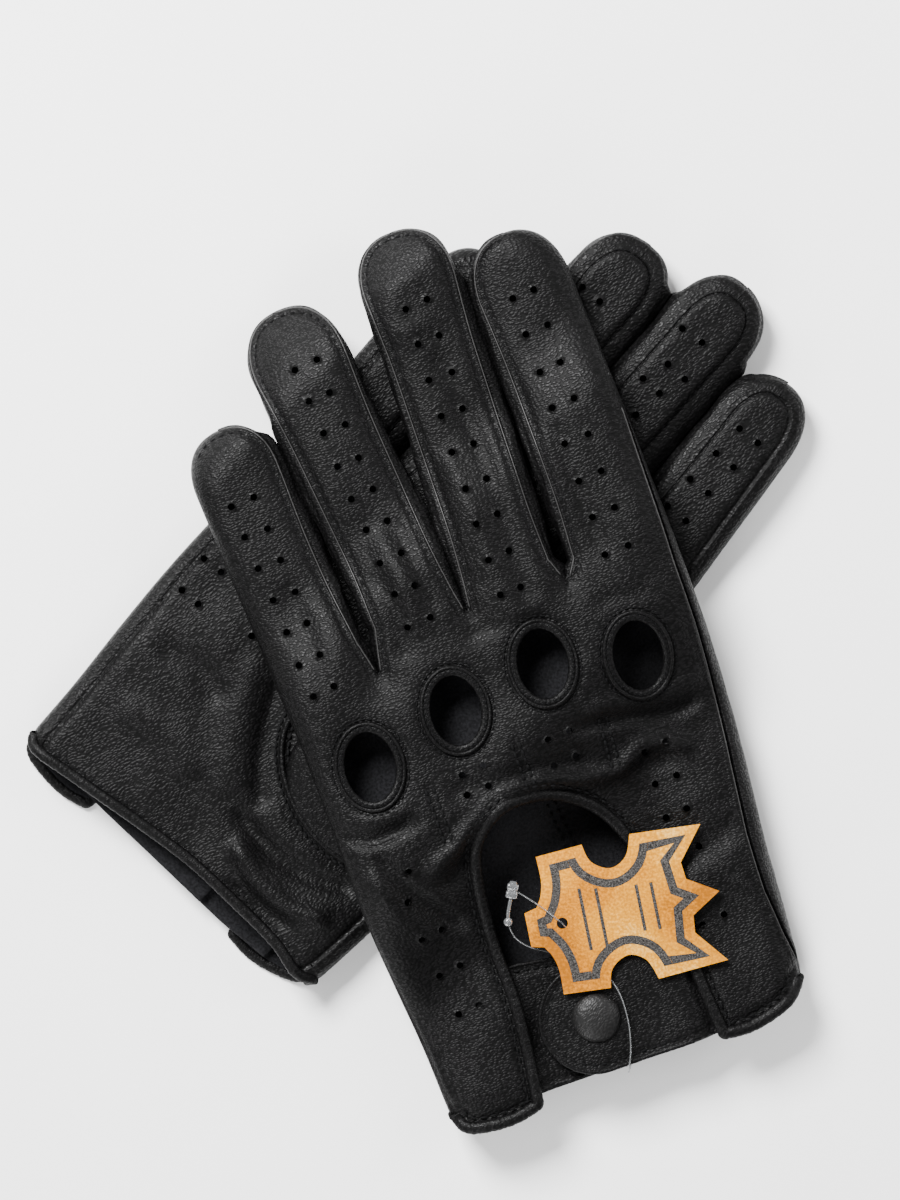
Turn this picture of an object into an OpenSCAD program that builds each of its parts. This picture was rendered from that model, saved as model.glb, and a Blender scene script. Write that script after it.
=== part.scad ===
/* [Leather] */
// Thickness of the glove leather
leather = 1; // [0.8:0.1:1.1]
// Height of an empty glove lying flat, from palm face to back face
glove_h = 12; // [11.5:0.5:13]
// Air left between pieces that only lie on each other
gap = 0.3; // [0.25:0.05:0.4]

/* [Pair] */
// Turn of the lower right-hand glove, clockwise from +Y
right_turn = 43.5; // [42:0.5:45]
// Turn of the upper left-hand glove, anticlockwise from +Y
left_turn = 19; // [18:0.5:20]
// How far the upper glove's hem lies from the lower one's, along X
pair_x = 124.7; // [123:0.1:127]
// The same along Y
pair_y = -52.2; // [-54:0.1:-50]

/* [Hand] */
// Width across the knuckles
knuckle_w = 113; // [110:0.5:114]
// Width of the cuff
cuff_w = 101; // [98:0.5:102]
// Hem to the base of the fingers
palm_len = 120; // [119:0.5:122]

/* [Fingers] */
// Middle finger of the upper glove, base to tip
middle_len = 109.7; // [106:0.1:112]
// Middle finger of the lower glove, base to tip
middle_len_lower = 100; // [96:0.1:104]
// Half the width of a finger near its tip
tip_half_w = 13.3; // [12.8:0.1:13.6]
// Seam allowance between the edge of a panel and the fourchette
lip = 0.6; // [0.5:0.1:0.8]

/* [Knuckle holes] */
// Half the width of a knuckle hole, inside its binding
hole_a = 7; // [6:0.1:7.4]
// Half its length
hole_b = 9.6; // [8:0.1:10]
// Width of the binding round it
ring_w = 2.7; // [2.4:0.1:2.8]
// Height of the binding above the leather
ring_rise = 0.8; // [0.6:0.1:1]
// Lean of each hole towards the thumb
hole_lean = 8; // [0:1:12]

/* [Wrist opening] */
// Height of the arch above the hem
arch_top = 74.8; // [70:0.1:76]
// Width of the piping round the opening and the hems
piping_w = 2.3; // [2:0.1:2.5]
// Height of the piping above the leather
piping_rise = 0.6; // [0.4:0.1:0.8]

/* [Strap] */
// Width of the strap
strap_w = 30; // [28:0.5:31]
// Thickness of the strap, two layers of leather
strap_t = 2; // [1.8:0.1:2.2]
// Thickness of the underlay that the strap closes on
underlay_t = 1; // [0.8:0.1:1.2]
// Radius of the covered snap cap
cap_r = 6.8; // [6:0.1:6.9]
// Height of the snap cap above the strap
cap_h = 2.6; // [2.4:0.1:2.8]
// Radius of the snap's stud
stud_r = 2; // [1.8:0.1:2.1]
// Running clearance of the socket round the stud
snap_play = 0.35; // [0.3:0.05:0.5]

/* [Thumbs] */
// Height of the lower glove's thumb, folded over its palm
thumb_h = 5.2; // [4.6:0.1:5.6]
// Height of the upper glove's thumb, tucked under its palm
tucked_h = 4.3; // [4:0.1:4.6]

/* [Tag] */
// Thickness of the tag card
tag_t = 0.8; // [0.6:0.1:1]
// Radius of the hole in the tag
tag_hole_r = 1.5; // [1.3:0.1:1.8]
// Radius of the plastic loop
loop_r = 0.35; // [0.3:0.05:0.35]

/* [Hidden] */
$fn = 64;

RIGHT = 0;
LEFT = 1;
black = "#1d1d1f";
suede = "#101012";
metal = "#8c8c90";

// Air between layers sewn face to face, between a binding and what it sits on, and under snaps
seam_air = 0.1;
seat_air = 0.05;
snap_air = 0.02;
// How far bindings reach below the leather, and cutting solids reach past what they cut
bind_depth = 0.6;
past = 9;
past_side = 90;
past_tips = 300;
past_hem = -60;

// Everything is drawn in a glove's own frame: hem along X, fingertips at +Y, thumb at +X, back of
// the hand up. The lower glove is then turned over, so it lies palm up under the upper one.
lower_at = [-67.46, -49.04];
upper_at = lower_at + [pair_x, pair_y];
lower_top = ring_rise + glove_h;

// Heights across the lower glove's axis, where the upper glove drapes over it. s is the distance
// from that axis: the lower glove reaches to about 57 each way, its thumb from 6 to 44.
over_thumb = lower_top + thumb_h + 2 * gap;
over_hand = lower_top + 2 * gap;
over_tucked = tucked_h + 2 * gap;
beyond = -88;
edge_far = -58;
thumb_far = -2;
thumb_near = 44;
edge_near = 82;
cuff_start = 102;
cuff_end = 126;
far = 240;
palm_heights = [[-far, gap], [beyond, gap], [edge_far, over_hand], [-25, over_hand],
                [thumb_far, over_thumb], [thumb_near, over_thumb], [edge_near, over_tucked],
                [cuff_start, over_tucked], [cuff_end, gap], [far, gap]];
back_heights = [[-far, gap], [beyond, gap], [edge_far, over_hand], [-25, over_hand],
                [thumb_far, over_thumb], [thumb_near, over_thumb], [edge_near, over_tucked],
                [far, over_tucked]];
turn_between = left_turn + right_turn;
s_origin = pair_x * cos(right_turn) - pair_y * sin(right_turn);

function smooth(t) = t * t * (3 - 2 * t);
function eased(st, n = 5) = [
  for (i = [0:len(st) - 2], k = [0:(st[i][1] == st[i + 1][1] ? 0 : n - 1)])
    let (t = k / n) [st[i][0] + (st[i + 1][0] - st[i][0]) * t,
                     st[i][1] + (st[i + 1][1] - st[i][1]) * smooth(t)],
  st[len(st) - 1]
];
function lifted(p, z) = [for (q = p) [q[0], q[1] + z]];
function back_to_front(p) = [for (i = [len(p) - 1:-1:0]) p[i]];

// Catmull-Rom curve through the points p, with n steps between neighbours
function between_points(a, b, c, d, t) =
  0.5 * (2 * b + (c - a) * t + (2 * a - 5 * b + 4 * c - d) * t * t
         + (3 * b - a - 3 * c + d) * t * t * t);
function curve(p, n = 3) = [
  for (i = [0:len(p) - 2], k = [0:n - 1])
    between_points(p[max(i - 1, 0)], p[i], p[i + 1], p[min(i + 2, len(p) - 1)], k / n),
  p[len(p) - 1]
];
// The path p moved e to its left, square to its direction
function moved(p, e) = [
  for (i = [0:len(p) - 1])
    let (d = p[min(i + 1, len(p) - 1)] - p[max(i - 1, 0)]) p[i] + e * [-d[1], d[0]] / norm(d)
];

// A finger: base x, base y, lean, length, half width at the base, half width near the tip, cap
upper_fingers = [
  [-43.6, 120, 4.4, middle_len - 34.1, 12.8, tip_half_w - 1.2, 15],
  [-13.8, 121, 6, middle_len - 9.2, 12.2, tip_half_w, 18],
  [11.2, 121, -0.5, middle_len, 12.6, tip_half_w, 17],
  [43.2, 121, 1.7, middle_len - 10.3, 14.3, tip_half_w, 18]
];
lower_fingers = [
  [-43.6, 120, 4, middle_len_lower - 40, 12.6, tip_half_w - 1.2, 15],
  [-15.2, 121, 3, middle_len_lower - 9.6, 12.2, tip_half_w, 18],
  [10.6, 121, 2, middle_len_lower, 12.6, tip_half_w - 0.4, 17],
  [42.8, 121, 6.2, middle_len_lower - 10.6, 14, tip_half_w - 0.8, 18]
];
crotches = [[-29.4, 119.7], [-1.7, 127.5], [26.1, 127.5]];
function fingers(g) = g == RIGHT ? lower_fingers : upper_fingers;
function on_finger(f, u, v) = [f[0] + u * cos(f[2]) - v * sin(f[2]), f[1] + u * sin(f[2]) + v * cos(f[2])];
function straight(f) = f[3] - f[6];
function half_w(f, k) = f[4] + (f[5] - f[4]) * k;
// One side of a finger from its base to its tip, e inside the edge
function side_up(f, side, e) = concat(
  [for (k = [0.16, 0.6]) on_finger(f, side * (half_w(f, k) - e), k * straight(f))],
  [for (a = [0:15:90]) on_finger(f, side * (f[5] - e) * pow(cos(a), 0.85),
                                 straight(f) + (f[6] - e) * pow(sin(a), 0.85))]
);
function side_down(f, side, e) = back_to_front(side_up(f, side, e));
function finger(f, e) = let (d = side_down(f, 1, e))
  concat(side_up(f, -1, e), [for (i = [1:len(d) - 1]) d[i]]);
function crotch(i, e) = crotches[i] - [0, 1.6 * e];

// The hand's two sides, e inside the edge
kn = knuckle_w / 2;
cu = cuff_w / 2;
function little_side(e) = [for (q = curve([
  [-cu, 3], [-cu - 0.8, 18], [-cu - 2.6, 0.32 * palm_len], [-kn + 2, 0.5 * palm_len],
  [-kn + 1.6, 0.7 * palm_len], [-kn + 0.9, 0.9 * palm_len]])) q + [e, 0]];
function thumb_side(e) = [for (q = curve([
  [kn + 1.2, 0.9 * palm_len], [kn + 1.3, 0.77 * palm_len], [kn + 0.6, 0.63 * palm_len],
  [kn - 1, 0.47 * palm_len], [cu + 3.6, 0.33 * palm_len], [cu + 2.8, 24], [cu + 1.6, 8]])) q - [e, 0]];
function hand(g, e) = let (f = fingers(g)) concat(
  little_side(e), finger(f[0], e), [crotch(0, e)], finger(f[1], e), [crotch(1, e)],
  finger(f[2], e), [crotch(2, e)], finger(f[3], e), thumb_side(e));

// Edge of the back from the little-finger side of the hem, up one tail, over the arch, down the
// other tail and along its hem
little_hem = curve([[-cu + 0.6, 0.6], [-47.6, -4.2], [-41, -5.9], [-33.4, -6.1], [-26.2, -4.4]]);
arch = curve([[-25.4, 1], [-24, 12], [-23, 26], [-23.4, 44], [-20.4, arch_top - 10],
              [-12, arch_top - 1.2], [-3, arch_top], [6, arch_top - 2.8], [14.5, arch_top - 10.4],
              [20, 51], [23.2, 32], [24.3, 14], [25.2, 3]]);
thumb_hem = curve([[26, -2.8], [33.5, -3.4], [40.5, -2.1], [47.2, 0.6], [cu + 0.6, 5]]);
back_edge = concat(little_hem, arch, thumb_hem);
// Hem of the palm, from the thumb side
palm_hem = curve([[cu + 0.6, 4.6], [46, 2.6], [36.3, 4.6], [21.5, 5], [5, 4.9], [-15, 2.5],
                  [-34.5, -0.4], [-46.6, -2], [-cu + 0.6, 0.6]]);
function back_outline(g) = concat(hand(g, 0), back_to_front(back_edge));
function palm_outline(g) = concat(hand(g, 0), palm_hem);

hole_at = [[-39.7, 96.9], [-13.3, 103.7], [12.6, 108], [37.4, 101.8]];
function ellipse(c, a, b) = [
  for (t = [0:15:345]) c + [a * cos(t) * cos(hole_lean) + b * sin(t) * sin(hole_lean),
                            -a * cos(t) * sin(hole_lean) + b * sin(t) * cos(hole_lean)]
];

// Strap and snap levels, measured from the palm face. The lower glove lies on its strap, which
// presses it in.
cap_at = [-4.5, 13.2];
hinge_x = 21.3;
root_drop = 0.55;
root_l = 14;
underlay_at = [-38, -2];
underlay_size = [52, 35];
function strap_low(g) = glove_h - 0.6 * strap_t - (g == RIGHT ? cap_h : 0);
function underlay_top(g) = strap_low(g) - 2 * loop_r - 2 * gap;
post_r = 1.3;
socket_r = 4.2;
socket_t = 1;
rivet_t = 0.5;

// The tag's own frame: X along it from its hole, turned from the glove's X
tag_at = [-4.9, 40.3];
tag_turn = -7.4;
tag_half = [[-9.4, 4.4], [-5.6, 5.6], [-3.4, 9], [-3.4, 18.8], [9.3, 19.6], [11, 13.7],
            [15.6, 11.8], [20.4, 14], [22.4, 19.8], [41.6, 18.6], [34.4, 9.6], [34.9, 5]];
tag_tail = [43, 0];
tag_low = over_tucked + glove_h + 0.4 * strap_t + 2 * loop_r + 2 * gap;
// Route of the loop, from below the tag's hole, round the strap and up to its ball
loop_mid = tag_low - gap - loop_r;
under_mid = over_tucked + strap_low(LEFT) - gap - loop_r;
loop_route = [[-4.9, 40.3, loop_mid], [-3, 35, loop_mid], [0.5, 27, loop_mid], [3.4, 18.2, loop_mid],
              [3.3, 9.7, loop_mid], [1.6, 2.6, loop_mid], [-0.2, -1.6, loop_mid],
              [-0.9, -3.2, loop_mid - 0.7], [-1, -3.6, (loop_mid + under_mid) / 2],
              [-0.7, -3.2, under_mid + 0.5], [0.2, -1.8, under_mid], [2.2, 4, under_mid],
              [3.2, 12, under_mid], [1.8, 20, under_mid], [-2, 26.4, under_mid],
              [-6.4, 31, under_mid + 0.3], [-11, 34, under_mid + 1], [-15.4, 37, under_mid + 2],
              [-18, 40.4, under_mid + 3]];
loop_top = tag_low + tag_t + gap + loop_r;
loop_end_route = [[-4.9, 40.3, tag_low - gap], [-4.9, 40.3, tag_low + 0.4], [-5.3, 40.9, tag_low + 1],
                  [-7, 43.6, loop_top + 0.2], [-9.6, 47.4, loop_top + 0.4],
                  [-12.4, 50.8, loop_top + 0.4]];
head_at = [-14.5, 52.8, loop_top + 0.2];
head_r = 1.7;
head_l = 3.6;
ball_at = [-18.5, 45.3, tag_low + 0.6];
ball_r = 1.3;
stem_route = [[-18.2, 41, under_mid + 3.4], [-18.5, 45.3, tag_low + 0.6], [-17.6, 48.4, tag_low + 1.2],
              [-15.2, 52, loop_top + 0.2]];

// Levels between which a piece is cut from its outline
function flat_level(side) = side == "palm" ? 0 : glove_h;
function draped_level(side) = side == "palm" ? eased(palm_heights) : lifted(eased(back_heights), glove_h);

module band(lo, a, hi, b) {
  rotate([0, 0, -turn_between]) translate([-s_origin, 0, 0]) rotate([90, 0, 0])
    linear_extrude(height = 4 * far, center = true)
      polygon(concat(lifted(draped_level(lo), a), back_to_front(lifted(draped_level(hi), b))));
}

// A layer from level lo + a up to level hi + b, cut to the outline given as children
module layer(g, lo, a, hi, b) {
  if (g == RIGHT) {
    translate([0, 0, flat_level(lo) + a])
      linear_extrude(height = flat_level(hi) + b - flat_level(lo) - a) children();
  } else {
    intersection() {
      translate([0, 0, -20]) linear_extrude(height = 80) children();
      band(lo, a, hi, b);
    }
  }
}

// A layer of constant height near the hem, where the back of either glove is level
module slab(g, z, h) {
  translate([0, 0, z + (g == LEFT ? over_tucked : 0)]) linear_extrude(height = h) children();
}

module place(g) {
  if (g == RIGHT) {
    translate([lower_at[0], lower_at[1], lower_top]) rotate([0, 0, -right_turn]) mirror([0, 0, 1])
      children();
  } else {
    translate([upper_at[0], upper_at[1], 0]) rotate([0, 0, left_turn]) children();
  }
}

module strip(path, inner, outer) {
  polygon(concat(moved(path, outer), back_to_front(moved(path, inner))));
}

// Everything but the side walls that the back panel turns down along its two outer edges
module back_hollow(g) {
  f = fingers(g);
  little = concat(little_side(leather), side_up(f[0], -1, leather));
  index = side_down(f[3], 1, leather);
  polygon(concat([[little[0][0], past_hem]], little, [[f[0][0], past_tips], [f[3][0], past_tips]],
                 index, [[past_side, palm_len + 6], [past_side, past_hem]]));
}

module back_panel(g) {
  color(black) place(g) difference() {
    layer(g, "palm", leather + seam_air, "back", 0) difference() {
      polygon(back_outline(g));
      for (c = hole_at) polygon(ellipse(c, hole_a + 1.2, hole_b + 1.2));
    }
    layer(g, "palm", -past, "back", -leather) back_hollow(g);
  }
}

module palm_panel(g) {
  wall = thumb_side(leather);
  color(black) place(g) difference() {
    layer(g, "palm", 0, "back", -leather - seam_air) polygon(palm_outline(g));
    layer(g, "palm", leather, "back", past)
      polygon(concat([[-past_side, past_hem], [-past_side, past_tips], [past_side, past_tips],
                      [past_side, palm_len - 1], [wall[0][0], palm_len - 1]],
                     wall, [[wall[len(wall) - 1][0], past_hem]]));
  }
}

// The strip between two fingers, from one tip round the crotch to the next tip
function between_fingers(g, i, e) = let (f = fingers(g))
  concat(side_down(f[i], 1, e), [crotch(i, e)], side_up(f[i + 1], -1, e));

module fourchette(g, i) {
  color(black) place(g) layer(g, "palm", leather + seam_air, "back", -leather - seam_air)
    polygon(concat(between_fingers(g, i, lip), back_to_front(between_fingers(g, i, lip + leather))));
}

// The thumb is a flattened tube, open into the hand
lower_thumb = [25, 36, 3.8, 76, 19, 12.2, 15];
upper_thumb = [38.2, 56, -7, 42, 15, 12, 15];
module thumb(g) {
  f = g == RIGHT ? lower_thumb : upper_thumb;
  h = g == RIGHT ? thumb_h : tucked_h;
  z = g == RIGHT ? -gap - thumb_h : gap;
  color(black) place(g) difference() {
    translate([0, 0, z]) linear_extrude(height = h)
      polygon(concat([on_finger(f, -f[4], 0)], finger(f, 0), [on_finger(f, f[4], 0)]));
    translate([0, 0, z + leather]) linear_extrude(height = h - 2 * leather)
      polygon(concat([on_finger(f, leather - f[4], -past)], finger(f, leather),
                     [on_finger(f, f[4] - leather, -past)]));
  }
}

module knuckle_ring(g, i) {
  c = hole_at[i];
  color(black) place(g) difference() {
    layer(g, "back", -leather - bind_depth, "back", ring_rise) difference() {
      polygon(ellipse(c, hole_a + ring_w, hole_b + ring_w));
      polygon(ellipse(c, hole_a, hole_b));
    }
    layer(g, "back", -past, "back", seat_air) difference() {
      polygon(ellipse(c, hole_a + ring_w + 2, hole_b + ring_w + 2));
      polygon(ellipse(c, hole_a + 1.1, hole_b + 1.1));
    }
  }
}

// Piping wraps the edge of the back: a lip outside it and a band on top of it
module wrist_piping(g) {
  color(black) place(g) difference() {
    layer(g, "back", -leather - bind_depth, "back", piping_rise) strip(back_edge, -0.8, piping_w);
    layer(g, "back", -past, "back", seat_air) polygon(back_outline(g));
  }
}

module cuff_piping(g) {
  color(black) place(g) layer(g, "palm", 0, "palm", leather + 0.8) strip(palm_hem, 0.05, 1.1);
}

module strap(g) {
  r = strap_w / 2;
  mid_y = cap_at[1];
  tip_x = cap_at[0] - 0.7;
  color(black) place(g) slab(g, strap_low(g), strap_t) difference() {
    union() {
      translate([tip_x, mid_y]) circle(r = r);
      translate([tip_x, mid_y - r]) square([hinge_x - tip_x, strap_w]);
    }
    translate(cap_at) circle(r = post_r + seam_air);
  }
}

// The strap's sewn end, under the tail on the thumb side
module strap_root(g) {
  color(black) place(g) slab(g, strap_low(g) - leather - root_drop, leather + seam_air)
    translate([hinge_x + 0.6, cap_at[1] - strap_w / 2 + 1]) square([root_l, strap_w - 2]);
}

module strap_underlay(g) {
  color(black) place(g) slab(g, underlay_top(g) - underlay_t, underlay_t) difference() {
    translate(underlay_at) square(underlay_size);
    translate(cap_at) circle(r = post_r + seam_air);
  }
}

// The covered cap: a shallow dome on the strap, with its post through it
module snap_cap(g) {
  top = strap_low(g) + strap_t;
  dome_r = (cap_r * cap_r + cap_h * cap_h) / (2 * cap_h);
  color(black) place(g) translate([cap_at[0], cap_at[1], g == LEFT ? over_tucked : 0]) {
    intersection() {
      translate([0, 0, top + cap_h - dome_r]) sphere(r = dome_r);
      translate([0, 0, top + snap_air]) cylinder(r = cap_r, h = cap_h);
    }
    translate([0, 0, strap_low(g)]) cylinder(r = post_r, h = strap_t + seam_air);
  }
}

module snap_socket(g) {
  color(metal) place(g) slab(g, strap_low(g) - socket_t, socket_t - snap_air) translate(cap_at)
    difference() {
      circle(r = socket_r);
      circle(r = stud_r + snap_play);
    }
}

module snap_stud(g) {
  color(metal) place(g) slab(g, underlay_top(g) + snap_air, socket_t) translate(cap_at) difference() {
    circle(r = stud_r);
    circle(r = post_r + seat_air);
  }
}

module snap_rivet(g) {
  color(metal) place(g) union() {
    slab(g, underlay_top(g) - underlay_t - rivet_t, rivet_t - snap_air) translate(cap_at)
      circle(r = socket_r);
    slab(g, underlay_top(g) - underlay_t - rivet_t, underlay_t + rivet_t + 0.8)
      translate(cap_at) circle(r = post_r);
  }
}

module tag() {
  color("goldenrod") place(LEFT) translate([tag_at[0], tag_at[1], tag_low]) rotate([0, 0, tag_turn])
    linear_extrude(height = tag_t) difference() {
      polygon(concat(tag_half, [tag_tail], back_to_front([for (q = tag_half) [q[0], -q[1]]])));
      circle(r = tag_hole_r);
    }
}

// A round tube along a route: each ring is square to the route and turns as little as it can
sides = 8;
function direction(p, i) = let (d = p[min(i + 1, len(p) - 1)] - p[max(i - 1, 0)]) d / norm(d);
function squared(v, d) = let (w = v - (v * d) * d) w / norm(w);
function normals(p, i = 0, v = [0.3, 0.1, 1]) = let (n = squared(v, direction(p, i)))
  i == len(p) - 1 ? [n] : concat([n], normals(p, i + 1, n));
module tube(p, r) {
  n = normals(p);
  last = (len(p) - 1) * sides;
  polyhedron(
    points = [for (i = [0:len(p) - 1], k = [0:sides - 1])
      p[i] + r * (n[i] * cos(360 * k / sides) + cross(direction(p, i), n[i]) * sin(360 * k / sides))],
    faces = concat(
      [[for (k = [0:sides - 1]) k]],
      [for (i = [0:len(p) - 2], k = [0:sides - 1])
        [i * sides + k, (i + 1) * sides + k, (i + 1) * sides + (k + 1) % sides,
         i * sides + (k + 1) % sides]],
      [[for (k = [sides - 1:-1:0]) last + k]]
    ));
}

module tag_loop() {
  color("gainsboro") place(LEFT) tube(curve(loop_route, 2), loop_r);
}

module tag_loop_end() {
  color("gainsboro") place(LEFT) tube(curve(loop_end_route, 2), loop_r);
}

// The lock of the loop, with the ball at its side and the stem back under the tag
module tag_loop_head() {
  color("gainsboro") place(LEFT) {
    translate(head_at) rotate([0, 90, 128]) cylinder(r = head_r, h = head_l, center = true);
    translate(ball_at) sphere(r = ball_r);
    tube(curve(stem_route, 2), loop_r);
  }
}

back_panel(RIGHT);  // right_back_panel
palm_panel(RIGHT);  // right_palm_panel
thumb(RIGHT);  // right_thumb
fourchette(RIGHT, 0);  // right_fourchette_little_ring
fourchette(RIGHT, 1);  // right_fourchette_ring_middle
fourchette(RIGHT, 2);  // right_fourchette_middle_index
knuckle_ring(RIGHT, 0);  // right_knuckle_ring_little
knuckle_ring(RIGHT, 1);  // right_knuckle_ring_ring
knuckle_ring(RIGHT, 2);  // right_knuckle_ring_middle
knuckle_ring(RIGHT, 3);  // right_knuckle_ring_index
wrist_piping(RIGHT);  // right_wrist_piping
cuff_piping(RIGHT);  // right_cuff_piping
strap(RIGHT);  // right_strap
strap_root(RIGHT);  // right_strap_root
strap_underlay(RIGHT);  // right_strap_underlay
snap_cap(RIGHT);  // right_snap_cap
snap_socket(RIGHT);  // right_snap_socket
snap_stud(RIGHT);  // right_snap_stud
snap_rivet(RIGHT);  // right_snap_rivet
back_panel(LEFT);  // left_back_panel
palm_panel(LEFT);  // left_palm_panel
thumb(LEFT);  // left_thumb
fourchette(LEFT, 0);  // left_fourchette_little_ring
fourchette(LEFT, 1);  // left_fourchette_ring_middle
fourchette(LEFT, 2);  // left_fourchette_middle_index
knuckle_ring(LEFT, 0);  // left_knuckle_ring_little
knuckle_ring(LEFT, 1);  // left_knuckle_ring_ring
knuckle_ring(LEFT, 2);  // left_knuckle_ring_middle
knuckle_ring(LEFT, 3);  // left_knuckle_ring_index
wrist_piping(LEFT);  // left_wrist_piping
cuff_piping(LEFT);  // left_cuff_piping
strap(LEFT);  // left_strap
strap_root(LEFT);  // left_strap_root
strap_underlay(LEFT);  // left_strap_underlay
snap_cap(LEFT);  // left_snap_cap
snap_socket(LEFT);  // left_snap_socket
snap_stud(LEFT);  // left_snap_stud
snap_rivet(LEFT);  // left_snap_rivet
tag();
tag_loop();
tag_loop_end();
tag_loop_head();
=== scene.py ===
import math

import bmesh
import bpy
import numpy as np
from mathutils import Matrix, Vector
from mathutils.geometry import delaunay_2d_cdt
from mathutils.kdtree import KDTree


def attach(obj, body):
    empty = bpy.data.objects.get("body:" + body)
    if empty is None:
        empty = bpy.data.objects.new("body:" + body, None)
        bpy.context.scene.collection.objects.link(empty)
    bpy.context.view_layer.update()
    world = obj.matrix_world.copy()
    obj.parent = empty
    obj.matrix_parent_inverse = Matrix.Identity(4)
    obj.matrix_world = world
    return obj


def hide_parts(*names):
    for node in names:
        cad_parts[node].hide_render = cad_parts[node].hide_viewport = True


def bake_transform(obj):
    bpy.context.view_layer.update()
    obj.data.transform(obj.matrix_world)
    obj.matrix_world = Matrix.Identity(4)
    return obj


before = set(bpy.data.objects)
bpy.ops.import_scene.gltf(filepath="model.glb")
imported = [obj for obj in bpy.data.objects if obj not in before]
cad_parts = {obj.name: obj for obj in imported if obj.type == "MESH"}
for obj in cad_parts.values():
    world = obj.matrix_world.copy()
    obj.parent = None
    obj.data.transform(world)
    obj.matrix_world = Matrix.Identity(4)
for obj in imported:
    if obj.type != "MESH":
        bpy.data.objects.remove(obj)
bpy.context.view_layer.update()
rng = np.random.default_rng(7)
# Lengths are in mm, but points in the world, as to_world and left_place give them, are in metres
MM = 0.001
FLOOR_CLEAR = 0.02            # nothing lies below the floor
T = 12.0                      # an empty glove's height
HALF = T / 2                  # from mid-thickness to either face
LEATHER_T, STRIP_T = 0.9, 0.8  # the panels, and the strips between them
WRAP = 4.6                    # how far the panels' seam lies in from the side, on the palm
ROLL = 9                      # how far in the rounding of the sides goes
DOME_POWER = 2.2

# ---------------------------------------------------------------- the gloves' shared frame
RIGHT, LEFT = 0, 1
RIGHT_TURN, LEFT_TURN = math.radians(43.5), math.radians(19)
RIGHT_AT = np.array([-67.46, -49.04])
APART = np.array([124.7, -52.2])
LEFT_AT = RIGHT_AT + APART
LOW_TOP = T + 0.8             # the right glove lies palm up; this is its palm's height
TURN = RIGHT_TURN + LEFT_TURN
S0 = APART[0] * math.cos(RIGHT_TURN) - APART[1] * math.sin(RIGHT_TURN)
OVER_HAND, OVER_THUMB, TUCKED = LOW_TOP + 0.6, LOW_TOP + 5.8, 4.9


def smooth(t):
    """0 to 1 with t, easing in and out."""
    t = np.clip(t, 0, 1)
    return t * t * (3 - 2 * t)


def stations(s, st):
    """Height at s, eased between (s, height) stations."""
    z = np.full_like(s, st[0][1], dtype=float)
    for (a, za), (b, zb) in zip(st, st[1:]):
        z = np.where(s >= a, za + (zb - za) * smooth((s - a) / (b - a)), z)
    return z


# Heights of the left glove's faces where it lies over the right one, by the place across that one
PALM_ST = [(-88, 0.3), (-58, OVER_HAND), (-25, OVER_HAND), (-2, OVER_THUMB), (44, OVER_THUMB),
           (82, TUCKED), (102, TUCKED), (126, 0.3)]
BACK_ST = PALM_ST[:6] + [(240, TUCKED)]


def across(x, y):
    """How far across the right glove a point of the left one lies."""
    return S0 + x * math.cos(TURN) - y * math.sin(TURN)


# ---------------------------------------------------------------- small helpers
def arr(p):
    return np.asarray(p, dtype=float)


def bell(d, w):
    """1 at d = 0, falling away over a width w."""
    return np.exp(-(d / w) ** 2)


def dome(u):
    """0 to 1 with u, steep at first: the rounding of an edge."""
    return (1 - (1 - np.clip(u, 0, 1)) ** DOME_POWER) ** (1 / DOME_POWER)


def spread(w, n):
    """The running mean of n values."""
    return np.convolve(np.pad(w, n // 2, mode="edge"), np.ones(n) / n, mode="valid")


def closest(line, p):
    return int(np.linalg.norm(line - arr(p), axis=1).argmin())


def curve(p, n=6, closed=False):
    """A smooth line through the points p, n steps to each span."""
    p = arr(p)
    m = len(p)
    out = []
    for i in range(m if closed else m - 1):
        at = [i - 1, i, i + 1, i + 2]
        a, b, c, d = (p[k % m] if closed else p[min(max(k, 0), m - 1)] for k in at)
        for t in [k / n for k in range(n)]:
            out.append(0.5 * (2 * b + (c - a) * t + (2 * a - 5 * b + 4 * c - d) * t * t
                              + (3 * b - a - 3 * c + d) * t ** 3))
    if not closed:
        out.append(p[-1])
    return arr(out)


def along(p):
    """Distance along a line, at each of its points."""
    return np.r_[0, np.cumsum(np.linalg.norm(np.diff(p, axis=0), axis=1))]


def resample(p, step, closed=False):
    """The same line with its points about step apart."""
    p = arr(p)
    if closed:
        p = np.vstack([p, p[:1]])
    d = along(p)
    n = max(2, int(round(d[-1] / step)) + 1)
    s = np.linspace(0, d[-1], n)
    q = np.column_stack([np.interp(s, d, p[:, k]) for k in range(p.shape[1])])
    return q[:-1] if closed else q


def tangents(p, closed=False):
    if closed:
        d = np.roll(p, -1, 0) - np.roll(p, 1, 0)
    else:
        d = np.gradient(p, axis=0)
    return d / np.maximum(np.linalg.norm(d, axis=1, keepdims=True), 1e-9)


def inside(poly, q):
    """Which of the points q lie in the polygon."""
    poly, q = arr(poly), arr(q)
    near = ((q >= poly.min(0)) & (q <= poly.max(0))).all(1)
    x, y = q[near, 0], q[near, 1]
    r = np.zeros(len(x), bool)
    for (x0, y0), (x1, y1) in zip(poly, np.roll(poly, -1, 0)):
        if y0 != y1:
            r ^= ((y0 > y) != (y1 > y)) & (x < (x1 - x0) * (y - y0) / (y1 - y0) + x0)
    near[near] = r
    return near


def tree_of(p):
    kd = KDTree(len(p))
    for i, (x, y) in enumerate(p):
        kd.insert((x, y, 0), i)
    kd.balance()
    return kd


def nearest(tree, q):
    found = [tree.find((x, y, 0)) for x, y in q]
    return np.array([f[1] for f in found], dtype=int), np.array([f[2] for f in found])


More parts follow.
